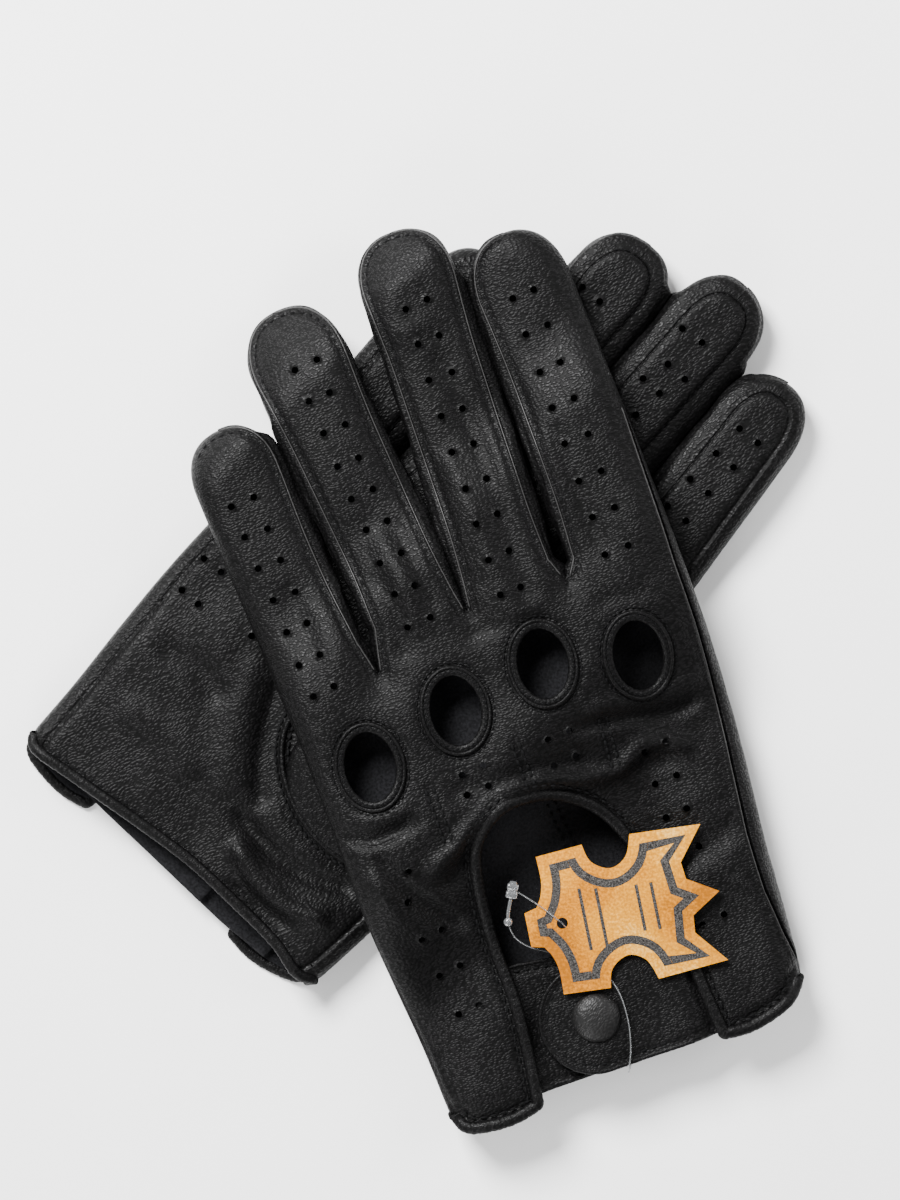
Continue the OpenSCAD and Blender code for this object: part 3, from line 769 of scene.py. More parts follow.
def ribbon(g, name, i0, i1, profile, node, crease, seed):
    """Leather between the back and the palm: profile gives each row's inset and height at the edge."""
    sh = SHAPES[g]
    m = RIBBON_POINTS
    idx = np.arange(i0, i1 + 1)
    e, n, s = sh.line[idx], sh.n[idx], sh.s[idx]
    plan, height = [], []
    for k in range(m):
        inset, rel = profile(k / (m - 1), idx)
        bulge = math.sin(math.pi * k / (m - 1))
        wob = crease * bulge * (np.sin(s / 3.1 + seed) * 0.4 + np.sin(s / 1.7 + 2 * seed + k * 0.35) * 0.3
                                + np.sin(s / 7.3 + k * 0.6) * 0.5)
        pleat = 4.2 * math.pi * k / (m - 1) + 0.8 * np.sin(s / 9 + seed)
        plan.append(e + n * (inset + wob)[:, None])
        height.append(rel + crease * bulge * 1.3 * np.sin(pleat))
    W = to_world(g, np.stack(plan, 1).reshape(-1, 2), np.stack(height, 1).reshape(-1))
    F = []
    for a in range(len(idx) - 1):
        for q in range(a * m, a * m + m - 1):
            F.append((q + m, q + m + 1, q + 1, q))
    V, F, mi = shell(W, flip_for(g, F), STRIP_T * MM)
    ob = make(name, V, F, (LEATHER[g], "suede"), BODY[g], node, mi)


# How a fourchette's profile goes from the back's seam to the palm's
FOLD_KEY = [0, 0.08, 0.2, 0.34, 0.48, 0.62, 0.76, 0.9, 1]
FOLD_REL = [2.7, 2.45, 2.2, 1.7, 0.2, -1.9, -3.5, -4.6, -5.0]


def fourchettes(g):
    """Strips between the fingers: they bulge into the gap and fold there against each other."""
    sh = SHAPES[g]
    for i, pair in enumerate(("little_ring", "ring_middle", "middle_index")):
        def prof(t, idx, low=sh.crotch_at[i]):
            w, gap = sh.lip_in[idx], sh.gap[idx]
            share = np.where(idx < low, 0.6, 0.4)
            out = np.minimum(gap * share, 2.2) * smooth((6.5 - gap) / 4) + 0.15
            ins = (w + 0.8, w + 0.1, w * 0.35, -out * 0.55, -out, -out * 0.6, 0.9, 2.9, 4.75)
            k = min(int(np.searchsorted(FOLD_KEY, t, side="right")) - 1, len(FOLD_KEY) - 2)
            u = (t - FOLD_KEY[k]) / (FOLD_KEY[k + 1] - FOLD_KEY[k])
            u = 0.5 * u + 0.5 * smooth(u)
            rel = FOLD_REL[k] + (FOLD_REL[k + 1] - FOLD_REL[k]) * u
            return ins[k] + (ins[k + 1] - ins[k]) * u + 0 * w, rel + 0 * w
        name = "%s_fourchette_%s" % (NAME[g], pair)
        ribbon(g, name + "_piece", sh.tip_at[i], sh.tip_at[i + 1], prof, name, 0.3, 5 * i + g + 1)


def side_strip(g):
    """The strip from the index finger's tip down the thumb side."""
    sh = SHAPES[g]

    def prof(t, idx):
        b, inner = sh.back_in[idx], 4.75
        u = -b + (b + inner) * t                # minus on the back, plus on the palm
        q = np.abs(u)
        rel = np.where(u < 0, HALF * dome(q / ROLL), -HALF * dome(q / ROLL))
        rel = rel - np.where(u < 0, 1, 0) * 1.5 * bell(q - b, 0.42) * (b > 0.05)
        rel = rel + 0.35 * np.clip(b / 2, 0, 1) * bell(u + 0.55 * b, 0.4 * b + 0.3)
        rel = rel + np.where(u > 0, 1, 0) * 0.9 * bell(q - inner, 0.8)
        return q, rel
    ribbon(g, NAME[g] + "_side_strip_piece", sh.tip_at[3], len(sh.line) - 1, prof, None, 0.05, 3)


def surf_back(g, p, lift=0.0):
    """World points on the back, lift above it."""
    d, _, _, j = SHAPES[g].near(p)
    return to_world(g, p, rel_back(SHAPES[g], np.maximum(d, 0), j) + lift)


def surf_palm(g, p, lift=0.0):
    """World points on the palm, lift out from it."""
    return to_world(g, p, rel_palm(np.maximum(SHAPES[g].near(p)[0], 0)) - lift)


# ---------------------------------------------------------------- edges and thread
def tube(path, half_w, half_h, up, sides=12, closed=False, taper=False, wob=0.0):
    """A flattened tube along world points, half_w and half_h in mm; up gives the way of its height."""
    p = arr(path)
    t = tangents(p, closed)
    half_w, half_h = half_w * MM, half_h * MM
    side = np.cross(t, np.repeat(arr(up)[None], len(p), 0))
    side /= np.maximum(np.linalg.norm(side, axis=1, keepdims=True), 1e-9)
    h = np.cross(side, t)
    a = np.linspace(0, 2 * math.pi, sides, endpoint=False)
    k = np.ones(len(p))
    if wob:
        s = along(p) / MM
        k = 1 + wob * (0.4 * np.sin(s * 1.9) + 0.4 * np.sin(s * 3.3 + 1.2) * np.sin(s * 0.37)
                       + 0.55 * np.sin(s * 5.4 + 1.8 * np.sin(s * 0.9)))
    if taper:
        s = along(p)
        e = np.minimum(s, s[-1] - s) / (np.max(half_w) * 1.2)
        k = k * np.sqrt(np.clip(e * (2 - np.clip(e, 0, 1)), 0.05, 1))
    kw, kh = (np.broadcast_to(v, len(p)) * k for v in (half_w, half_h))
    V = (p[:, None] + side[:, None] * (np.cos(a)[None, :, None] * kw[:, None, None])
         + h[:, None] * (np.sin(a)[None, :, None] * kh[:, None, None])).reshape(-1, 3)
    return V, ring_faces(len(p), sides, closed)


def up_of(g):
    """Which way the glove's back faces."""
    return np.array([0.0, 0.0, 1.0 if g == LEFT else -1.0])


def bound_edge(g, name, path, half_w, half_h, node=None, body=None, sides=12, taper=True):
    """A rolled edge of leather along world points."""
    V, F = tube(path, half_w, half_h, up_of(g), sides, taper=taper, wob=0.06)
    make(NAME[g] + name, V, turned_over(F), "binding", body or BODY[g], node)


THREAD = {}
# One stitch: place along it, thickness and sink at each of its rings
STITCH = ((-1, 0.35, -0.22), (-0.7, 0.85, 0.0), (0, 1.05, 0.1), (0.7, 0.85, 0.0), (1, 0.35, -0.22))


def stitches(key, body, pts, normal, step, length, r, closed=False, lean=0.0):
    """Add a row of thread stitches along world points, lying on the surface."""
    q = resample(pts, step * MM, closed)
    if len(q) < 2:
        return
    t = tangents(q, closed)
    nrm = arr(normal)
    V0, F0 = THREAD.setdefault((key, body), ([], []))
    a = np.linspace(0, 2 * math.pi, 6, endpoint=False)
    L = length / 2 * MM
    for i in range(len(q) if closed else len(q) - 1):
        c = q[i] + (q[(i + 1) % len(q)] - q[i]) * 0.5
        tt = t[i] * math.cos(lean) + np.cross(nrm, t[i]) * math.sin(lean)
        sd = np.cross(nrm, tt)
        sd /= np.linalg.norm(sd)
        base = sum(len(v) for v in V0)
        rows = []
        for u, k, dz in STITCH:
            o = c + tt * L * u + nrm * dz * MM
            rows.append(o + sd * (np.cos(a)[:, None] * r * k * MM)
                        + nrm * (np.sin(a)[:, None] * r * k * MM * 0.85))
        V0.append(np.vstack(rows))
        F0 += [tuple(base + m for m in face) for face in ring_faces(len(STITCH), 6)]


def sew(g, pts, step=2.8, length=1.7, r=0.3, up=1, closed=False):
    """A row of the seams' thread, on a side that faces the back's way (up 1) or the palm's (up -1)."""
    stitches("seam%d" % g, BODY[g], pts, up * up_of(g), step, length, r, closed)


def rings(g):
    """Bound rims of the knuckle holes: a thin roll outside a wide one, and their stitches."""
    for c, finger in zip(HOLES, ("little", "ring", "middle", "index")):
        def rim(out):
            return ellipse(c, HOLE_A + out, HOLE_B + out, 96)
        V, F = joined([tube(surf_back(g, rim(out), lift), w, 0.62, up_of(g), closed=True, wob=0.05)
                       for out, w, lift in ((2.0, 0.55, 0.28), (0.85, 1.15, -0.12))])
        make("%s_ring_%s" % (NAME[g], finger), V, turned_over(F), "binding", BODY[g],
             "%s_knuckle_ring_%s" % (NAME[g], finger))
        for out, lean in ((0.75, 0.5), (1.25, -0.5)):
            stitches("ring%d" % g, BODY[g], surf_back(g, rim(out), 0.5), up_of(g), 1.5, 1.25, 0.17,
                     True, lean)
        sew(g, surf_back(g, rim(3.3)), 1.9, 1.3, 0.2, closed=True)


def shifted(p, e):
    """A line moved sideways by e, to its left."""
    t = tangents(p)
    return p + e * np.column_stack([-t[:, 1], t[:, 0]])


def corner_point(g, end):
    """Where the hem turns the corner between back and palm, at mid-thickness."""
    return to_world(g, [SHAPES[g].line[end] + 1.3 * SHAPES[g].n[end]], [0.0])


def pipings(g):
    """The bindings of the wrist opening with its hems, and of the palm's hem."""
    be = resample(back_edge(), 0.4)
    be = np.column_stack([spread(be[:, c], 5) for c in (0, 1)])
    hem = smooth((1 - be[:, 1]) / 5)
    hem = np.concatenate([hem[:1], hem, hem[-1:]])
    p = np.vstack([corner_point(g, 0), surf_back(g, shifted(be, 0.8), -0.1), corner_point(g, -1)])
    bound_edge(g, "_wrist_piping_tube", p, 1.7, 1.3 + 0.1 * hem, NAME[g] + "_wrist_piping", sides=14,
               taper=False)
    sew(g, surf_back(g, shifted(be, 3.3)))
    ph = resample(curve(PALM_HEM), 0.4)
    p = np.vstack([corner_point(g, -1), surf_palm(g, shifted(ph, -0.4), -0.2), corner_point(g, 0)])
    bound_edge(g, "_cuff_piping_tube", p, 1.6, 1.2, NAME[g] + "_cuff_piping", sides=14, taper=False)
    inner = shifted(ph, -2.5)
    sew(g, surf_palm(g, inner[SHAPES[g].near(inner)[0] > 5], 0.02), up=-1)


ROUND_TIP = 18                 # points the stitching goes on past the little finger's tip


def seam_stitching(g):
    sh = SHAPES[g]
    # top stitching along the sides between the fingers and round the tips
    for i, mid in enumerate(sh.crotch_at):
        a = sh.tip_at[i] - (ROUND_TIP if i == 0 else 0)
        b = sh.tip_at[i + 1]
        for lo, hi in ((a, mid - 2), (mid + 2, b)):
            q = sh.line[lo:hi] + sh.n[lo:hi] * (1.75 + sh.lip_in[lo:hi, None])
            sew(g, surf_back(g, q))
    # double rows behind the knuckles
    for (x0, y0), (x1, y1) in KNUCKLE_ROWS:
        for s in (-1.05, 1.05):
            q = resample(arr([(x0 + s, y0), (x1 + s, y1)]), 0.8)
            sew(g, surf_back(g, q, -0.12), 2.4, 1.7, 0.4)
    # the seam that shows inside the wrist opening
    for s in (-1.1, 1.1):
        sew(g, surf_palm(g, shifted(curve(INNER_SEAM), s), -1.05), 2.6, 1.7, 0.4)


def beads(g):
    """Thin beads along the seams, painted lighter than the leather: a painted highlight line where the pared
    edges catch the light.
    """
    sh = SHAPES[g]
    parts = []

    def edge(k, off, lift, w, h, wob):
        q = sh.line[k] + sh.n[k] * off
        parts.append(tube(surf_back(g, q, lift), w, h, up_of(g), 8, taper=True, wob=wob))
    for i, mid in enumerate(sh.crotch_at):
        for k in (slice(sh.tip_at[i], mid - 1), slice(mid + 1, sh.tip_at[i + 1])):
            edge(k, 0.38 + sh.lip_in[k, None], -0.05, 0.26, 0.24, 0.15)
    k = np.where((sh.back_in > 0.5) & (sh.line[:, 0] > 0))[0]
    edge(k, 0.35 + sh.back_in[k, None], -0.15, 0.22, 0.2, 0.2)
    V, F = joined(parts)
    make(NAME[g] + "_pared_edge_highlights", V, turned_over(F), "edge", BODY[g])


def flush_threads():
    """One piece of thread for each kind of seam on each body."""
    for (key, body), (V, F) in THREAD.items():
        make("thread_" + key + "_" + body, np.vstack(V), F, "thread", body)


# ---------------------------------------------------------------- strap, underlay and snap
STRAP_R = 15.0
LOWER_SINK = 2.6               # the right glove's strap lies this much closer to its palm
CAP_X, CAP_Y = CAP_AT
TIP_X = CAP_X - 0.7            # centre of the strap's round end


def over_palm(g, p, z):
    """World points z above the palm's outer face."""
    return to_world(g, p, z - HALF)


def plate(g, name, outline, z_of, t, body, node, spacing, round_edge):
    """A flat piece of leather with rounded edges at height z_of(x, y) above the palm face."""
    o = resample(outline, 0.7, True)
    v, f = triangulate(o, [], spacing, inset_rows(o, (0.25, 0.6, 1.1, 1.9, 2.6, 3.3)))
    d = near_line(o, v, closed=True)[0]
    mid = z_of(v[:, 0], v[:, 1])
    top = mid + t / 2 - round_edge * (1 - dome(d / 1.3))
    top -= 0.35 * bell(d - 2.1, 0.7)
    bot = mid - t / 2 + round_edge * (1 - dome(d / 1.3))
    F, idx = slab_faces(f, len(v))
    ob = make(name, np.vstack([over_palm(g, v, top), over_palm(g, v, bot)]), flip_for(g, F),
              (LEATHER[g], "suede"), body, node, idx)
    return ob


def strap_level(g):
    """Height of the strap's middle over the palm: its free part, and lower at its root."""
    sink = 0.0 if g == LEFT else LOWER_SINK

    def z(x, y):
        free = 11.8 - sink + 0.25 * np.exp(-((x - CAP_X) ** 2 + (y - CAP_Y) ** 2) / 120)
        root = 9.9 - 0.35 * sink
        return root + (free - root) * smooth((25.2 - x) / 7.5)
    return z


def round_end(x, r):
    """A line along the strap from x, round its end at radius r and back."""
    a = np.radians(np.linspace(90, 270, 40))
    return np.vstack([[(x, CAP_Y + r)], np.column_stack([TIP_X + r * np.cos(a), CAP_Y + r * np.sin(a)]),
                      [(x, CAP_Y - r)]])


def strap_parts(g):
    """The strap with its folded edge and stitches, the tongue under it and its snap's cap."""
    body = NAME[g] + "_strap"
    lvl = strap_level(g)
    out = np.vstack([[(37, CAP_Y + STRAP_R - 1)], round_end(22, STRAP_R), [(37, CAP_Y - STRAP_R + 1)]])
    ob = plate(g, NAME[g] + "_strap_leather", out, lvl, 1.9, None,
               [NAME[g] + "_strap", NAME[g] + "_strap_root"], 1.1, 0.55)
    start, end = (over_palm(g, [(x, CAP_Y)], lvl(24.6, CAP_Y))[0] for x in (24.6, 18.6))
    BLENDS.append((ob, BODY[g], body, tuple(start), tuple(end)))
    # the folded edge stands up round the free part, with stitching inside it
    edge = resample(round_end(19, STRAP_R - 0.55), 0.8)
    W = over_palm(g, edge, lvl(edge[:, 0], edge[:, 1]) + 0.55)
    bound_edge(g, "_strap_fold", W, 0.62, 0.55, body=body)
    inner = resample(round_end(17.5, 12.6), 0.8)
    W = over_palm(g, inner, lvl(inner[:, 0], inner[:, 1]) + 0.75)
    stitches("strap%d" % g, body, W, up_of(g), 2.8, 1.7, 0.3)
    underlay(g)
    snap_cap(g, lvl(CAP_X, CAP_Y) + 0.8, body)


def underlay(g):
    """The tongue under the strap, from the other tail, with a bound and stitched upper edge."""
    low = 9.0 - (0.0 if g == LEFT else LOWER_SINK)

    def level(x, y=None):
        return low + 1.4 * smooth((-20 - x) / 7)
    plate(g, NAME[g] + "_underlay_leather",
          [(-38, -1.6), (14, -1.6), (14, 30.4), (-6, 31.4), (-21, 33.6), (-38, 33.6)], level, 1.0, BODY[g],
          NAME[g] + "_strap_underlay", 1.3, 0.3)
    q = resample(arr([(-23.5, 33.3), (-20, 33.1), (-6, 31.0), (13, 30.0)]), 0.6)
    W = over_palm(g, q, level(q[:, 0]) + 0.35)
    bound_edge(g, "_underlay_edge", W, 0.5, 0.42, sides=10)
    q = resample(arr([(-22, 31.9), (-6, 29.4), (12, 28.4)]), 0.8)
    sew(g, over_palm(g, q, level(q[:, 0]) + 0.5), 2.6, 1.6, 0.28)


# The covered cap's section, as (radius, height) from its crown to the middle of its under side
CAP_SECTION = [(0.0, 2.75), (1.4, 2.72), (2.8, 2.6), (4.0, 2.38), (5.0, 2.02), (5.8, 1.5), (6.35, 0.95),
               (6.6, 0.45), (6.6, 0.0), (6.25, -0.25), (5.4, -0.3), (0.0, -0.3)]


CAP_SIDES = 64


def snap_cap(g, z0, body):
    """The leather-covered cap, turned from its section, a touch out of round."""
    V, m = [], CAP_SIDES
    for r, z in CAP_SECTION:
        for an in [2 * math.pi * k / m for k in range(m)]:
            rr = r * (1 + 0.006 * math.sin(5 * an + 1) + 0.004 * math.sin(11 * an))
            V.append((CAP_X + rr * math.cos(an), CAP_Y + rr * math.sin(an), z0 + z))
    V = arr(V)
    F = [(a, d, c, b) for a, b, c, d in ring_faces(len(CAP_SECTION), m, capped=False)]
    make(NAME[g] + "_snap_cap_cover", over_palm(g, V, V[:, 2]), flip_for(g, F), "cap", body,
         NAME[g] + "_snap_cap", merge=True)


# The lower glove's thumb as it lies on the palm, and the upper one's finger shape under its hand
LAID_THUMB = [(24, 33), (13, 35.5), (5.6, 42), (3.0, 51), (4.4, 64), (7.6, 84), (8.0, 100), (10.5, 109),
              (18, 113.6), (26, 112), (31.5, 105), (33.4, 92), (38, 74), (42.5, 58), (44.5, 46), (40, 37),
              (32, 33.4)]
TUCKED_THUMB = (36.5, 42, -7, 56, 15, 12, 15)


def thumb(g):
    """A flattened tube of leather; on the lower glove it lies on the palm, sewn in at its base."""
    if g == RIGHT:
        side = curve(LAID_THUMB, 6, True)
        h, lo, y0, run = 5.0, 0.35, 33, 26
    else:
        f = TUCKED_THUMB
        a, b = (on_finger(f, np.array([w]), np.array([0.0])) for w in (-f[4], f[4]))
        side = np.vstack([a, finger_side(f, -1), finger_side(f, 1)[::-1][1:], b])
        h, lo, y0, run = 4.0, 0.3, 38, 16
    o = resample(side, 0.8, True)
    v, f = triangulate(o, [], 1.25, inset_rows(o, (0.3, 0.7, 1.3, 2.0, 2.8)))
    d = near_line(o, v, closed=True)[0]
    rise = 0.3 + 0.7 * smooth((v[:, 1] - y0) / run)
    top = lo + rise * h * dome(d / 8.5)
    top += 0.25 * rise * waves(v[:, 0], v[:, 1], 41 + g, 16, 0.3, 1.6) * smooth(d / 4)
    bot = np.full(len(v), lo) - 0.05 * dome(d / 2)
    F = turned_over(slab_faces(f, len(v))[0])
    ob = make(NAME[g] + "_thumb_leather", np.vstack([to_world(g, v, -HALF - z) for z in (top, bot)]),
              flip_for(g, F), LEATHER[g], BODY[g], NAME[g] + "_thumb")
    if g == RIGHT:
        base = resample(curve(THUMB_SEAM), 0.4)
        V, F = tube(surf_palm(g, base, 0.35), 0.75, 0.6, -up_of(g), taper=True, wob=0.16)
        make("right_thumb_seam", V, F, "binding", BODY[g])
        for e in (-1.7, 1.7):
            sew(g, surf_palm(g, shifted(base, e)), 2.2, 1.7, 0.4, up=-1)


# ---------------------------------------------------------------- tag and loop
# The tag's hole in the left glove's plan, its turn there, and the heights of the tag and its loop
TAG_AT, TAG_TURN = np.array([-4.9, 40.3]), math.radians(-7.4)
TAG_LOW = TUCKED + T + 0.8 + 0.7 + 0.6


def tag_outline():
    """The card's outline: straight-sided legs with round bays between them, alike on both sides."""
    bay = curve([(-6.0, 5.4), (-4.3, 8.2), (-3.3, 12.4), (-3.4, 18.8)], 5)
    middle = curve([(9.3, 19.6), (10.8, 14.6), (15.6, 11.9), (20.2, 14.2), (22.4, 19.8)], 5)
    half = np.vstack([[(-9.4, 0), (-9.4, 4.6)], bay, middle,
                      [(41.6, 18.6), (34.4, 9.6), (34.9, 5.0), (43.0, 0)]])
    return np.vstack([half, half[1:-1][::-1] * np.array([1, -1])])


def tag_world(p, z):
    """The card's own x and y, and a height, to metres."""
    c, s = math.cos(TAG_TURN), math.sin(TAG_TURN)
    return left_place(TAG_AT[0] + p[:, 0] * c - p[:, 1] * s, TAG_AT[1] + p[:, 0] * s + p[:, 1] * c, z)


def card(name, outline, holes, z0, z1, mat, spacing=1.0, node=None):
    """A flat piece of the tag between two heights, with the card's slight waves."""
    v, f = triangulate(outline, holes, spacing)
    bend = 0.28 * np.sin(v[:, 0] / 11.0 + 0.4) + 0.16 * np.sin(v[:, 1] / 8.0 + 1)
    make(name, np.vstack([tag_world(v, z + bend) for z in (z1, z0)]), slab_faces(f, len(v))[0], mat,
         "left_tag", node, flat_shade=True)


# The plain rules printed across the tag: x, and y from and to
TAG_RULES = ((6.2, -8.6, 8.2), (10.6, -8.6, 7.4), (21.4, -6.4, 6.2), (25.4, -6.8, 6.0))
RULE_HALF = 0.45
INK = (TAG_LOW + 0.69, TAG_LOW + 0.74)     # the print stands a little proud of the card


def tag_parts():
    card("tag_card", resample_keep(tag_outline()), [circle((0, 0), 1.5, 32)], TAG_LOW, TAG_LOW + 0.7, "card",
         1.6, "tag")
    card("tag_border", inset_poly(tag_outline(), 2.9), [inset_poly(tag_outline(), 5.2)], *INK, "ink")
    for k, (x, y0, y1) in enumerate(TAG_RULES, 1):
        a, b = x - RULE_HALF, x + RULE_HALF
        card("tag_rule_%d" % k, resample_keep(arr([(a, y0), (b, y0), (b, y1), (a, y1)])), [], *INK, "ink")


def resample_keep(poly):
    """Points about 1.2 mm apart along a closed outline, its corners kept."""
    out = []
    for a, b in zip(poly, np.roll(poly, -1, 0)):
        n = max(1, int(np.linalg.norm(b - a) / 1.2))
        out += [a + (b - a) * k / n for k in range(n)]
    return arr(out)


def inset_poly(p, e):
    """Each corner moved in by e, square to both of its sides."""
    p = p[np.linalg.norm(p - np.roll(p, 1, 0), axis=1) > 1e-6]
    turn = 1 if signed_area(p) > 0 else -1
    normals = []
    for d in (p - np.roll(p, 1, 0), np.roll(p, -1, 0) - p):
        d /= np.linalg.norm(d, axis=1, keepdims=True)
        normals.append(np.column_stack([-d[:, 1], d[:, 0]]) * turn)
    m = normals[0] + normals[1]
    m /= np.maximum((m * normals[0]).sum(1, keepdims=True), 0.55)
    return p + m * e


# The loop's route from the tag's hole, as part.scad has it: over the strap, round its edge and back
# under it
LOOP_MID = TAG_LOW - 0.65
UNDER_MID = TUCKED + (T - 1.2) - 0.65
LOOP_ROUTE = [(-4.9, 40.3, LOOP_MID), (-3, 35, LOOP_MID), (0.5, 27, LOOP_MID), (3.4, 18.2, LOOP_MID),
              (3.3, 9.7, LOOP_MID), (1.6, 2.6, LOOP_MID), (-0.2, -1.6, LOOP_MID),
              (-0.9, -3.2, LOOP_MID - 0.7), (-1, -3.6, (LOOP_MID + UNDER_MID) / 2),
              (-0.7, -3.2, UNDER_MID + 0.5), (0.2, -1.8, UNDER_MID), (2.2, 4, UNDER_MID),
              (3.2, 12, UNDER_MID), (1.8, 20, UNDER_MID), (-2, 26.4, UNDER_MID),
              (-6.4, 31, UNDER_MID + 0.3), (-11, 34, UNDER_MID + 1), (-15.4, 37, UNDER_MID + 2),
              (-18, 40.4, UNDER_MID + 3)]
LOOP_TOP = TAG_LOW + 0.8 + 0.65
BALL = (-18.5, 45.3, TAG_LOW + 0.6)        # the ball that locks into the head
HEAD_FROM, HEAD_TO = arr([-15.7, 51.2, LOOP_TOP + 0.1]), arr([-13.7, 55.0, LOOP_TOP + 0.3])
# The ribbed head's section, as (part of its length, radius)
HEAD_SECTION = [(0, 0.7), (0.0, 1.3), (0.06, 1.55), (0.4, 1.55), (0.44, 1.3), (0.56, 1.3), (0.6, 1.55),
                (0.86, 1.5), (0.92, 1.1), (1.05, 0.9), (1.08, 0.5)]


def left_world(p):
    return left_place(*arr(p).T)


def loop_parts():
    """The clear tag loop: its filament as a thin tube, and its lock."""
    start = [(-13.6, 52.3, LOOP_TOP + 0.3), (-9.6, 47.4, LOOP_TOP + 0.4), (-7, 43.6, LOOP_TOP + 0.2),
             (-5.3, 40.9, TAG_LOW + 1), (-4.9, 40.3, TAG_LOW + 0.3)]
    W = left_world(curve(start + LOOP_ROUTE[1:] + [(-18.6, 43.4, TAG_LOW + 0.2), BALL], 6))
    V, F = tube(W, 0.2, 0.2, (0.13, 0.2, 1.0), 10)
    ob = make("tag_loop_filament", V, turned_over(F), "nylon", None,
              ["tag_loop", "tag_loop_end"])
    bend = left_world([(-4, 28, LOOP_MID), (-4, 40, LOOP_MID)])
    BLENDS.append((ob, "left_strap", "left_tag", tuple(bend[0]), tuple(bend[1])))
    stem = left_world(curve([BALL, (-17.7, 47.6, TAG_LOW + 1.0), (-15.9, 50.9, LOOP_TOP)], 6))
    V, F = joined([tube(stem, 0.5, 0.38, (0, 0, 1), 10), lock_head(), lock_ball()])
    lock = make("tag_loop_lock", V, F, "nylon", "left_tag", "tag_loop_head", merge=True)


def lock_head():
    """A squarish ribbed head along HEAD_FROM to HEAD_TO."""
    L = np.linalg.norm(HEAD_TO - HEAD_FROM)
    ax = (HEAD_TO - HEAD_FROM) / L
    sd = np.cross(ax, arr([0, 0, 1.0]))
    up = np.cross(sd, ax)
    V, m = [], 24
    for t, r in HEAD_SECTION:
        for an in [2 * math.pi * k / m for k in range(m)]:
            sq = 1 / max(abs(math.cos(an)), abs(math.sin(an))) ** 0.85
            V.append(HEAD_FROM + ax * L * t + sd * r * sq * math.cos(an) + up * r * 0.8 * sq * math.sin(an))
    return left_world(V), ring_faces(len(HEAD_SECTION), m)


def lock_ball():
    """A ball a little flatter than it is wide."""
    V, rows, m = [], 9, 16
    for ph in [math.pi * i / (rows - 1) for i in range(rows)]:
        for an in [2 * math.pi * k / m for k in range(m)]:
            V.append((BALL[0] + 1.25 * math.sin(ph) * math.cos(an),
                      BALL[1] + 1.25 * math.sin(ph) * math.sin(an), BALL[2] + 0.9 * math.cos(ph)))
    return left_world(V), ring_faces(rows, m, capped=False)


# ---------------------------------------------------------------- materials
def nodes_of(name):
    m = bpy.data.materials.new(name)
    m.use_nodes = True
    MATS[name] = m
    return m.node_tree, m.node_tree.nodes["Principled BSDF"]


def put(nt, socket, v):
    """Link v, another node's output, to an input, or set v as its value."""
    if isinstance(v, bpy.types.NodeSocket):
        nt.links.new(v, socket)
    else:
        socket.default_value = v


def node(nt, kind, **values):
    """A node; each value goes to the input or the setting of its name."""
    n = nt.nodes.new(kind)
    for k, v in values.items():
        if k in n.inputs:
            put(nt, n.inputs[k], v)
        else:
            setattr(n, k, v)
    return n


def maths(nt, op, *terms, kind="ShaderNodeMath"):
    n = node(nt, kind, operation=op)
    for socket, v in zip(n.inputs, terms):
        put(nt, socket, v)
    return n.outputs[0]


def ramp(nt, fac, stops):
    n = node(nt, "ShaderNodeValToRGB", Fac=fac)
    cr = n.color_ramp
    while len(cr.elements) < len(stops):
        cr.elements.new(0.5)
    for e, (p, c) in zip(cr.elements, stops):
        e.position = p
        e.color = (*((c, c, c) if isinstance(c, (int, float)) else c), 1)
    return n.outputs[0]


def spread_over(nt, value, lo, hi, to_lo, to_hi):
    """value's range from lo to hi, mapped to the range from to_lo to to_hi."""
    return node(nt, "ShaderNodeMapRange", **{"Value": value, "From Min": lo, "From Max": hi,
                                             "To Min": to_lo, "To Max": to_hi}).outputs[0]


def surface(nt, b, colour, rough, height, depth):
    put(nt, b.inputs["Base Color"], colour)
    put(nt, b.inputs["Roughness"], rough)
    bump = node(nt, "ShaderNodeBump", Strength=1.0, Distance=depth, Height=height)
    put(nt, b.inputs["Normal"], bump.outputs[0])


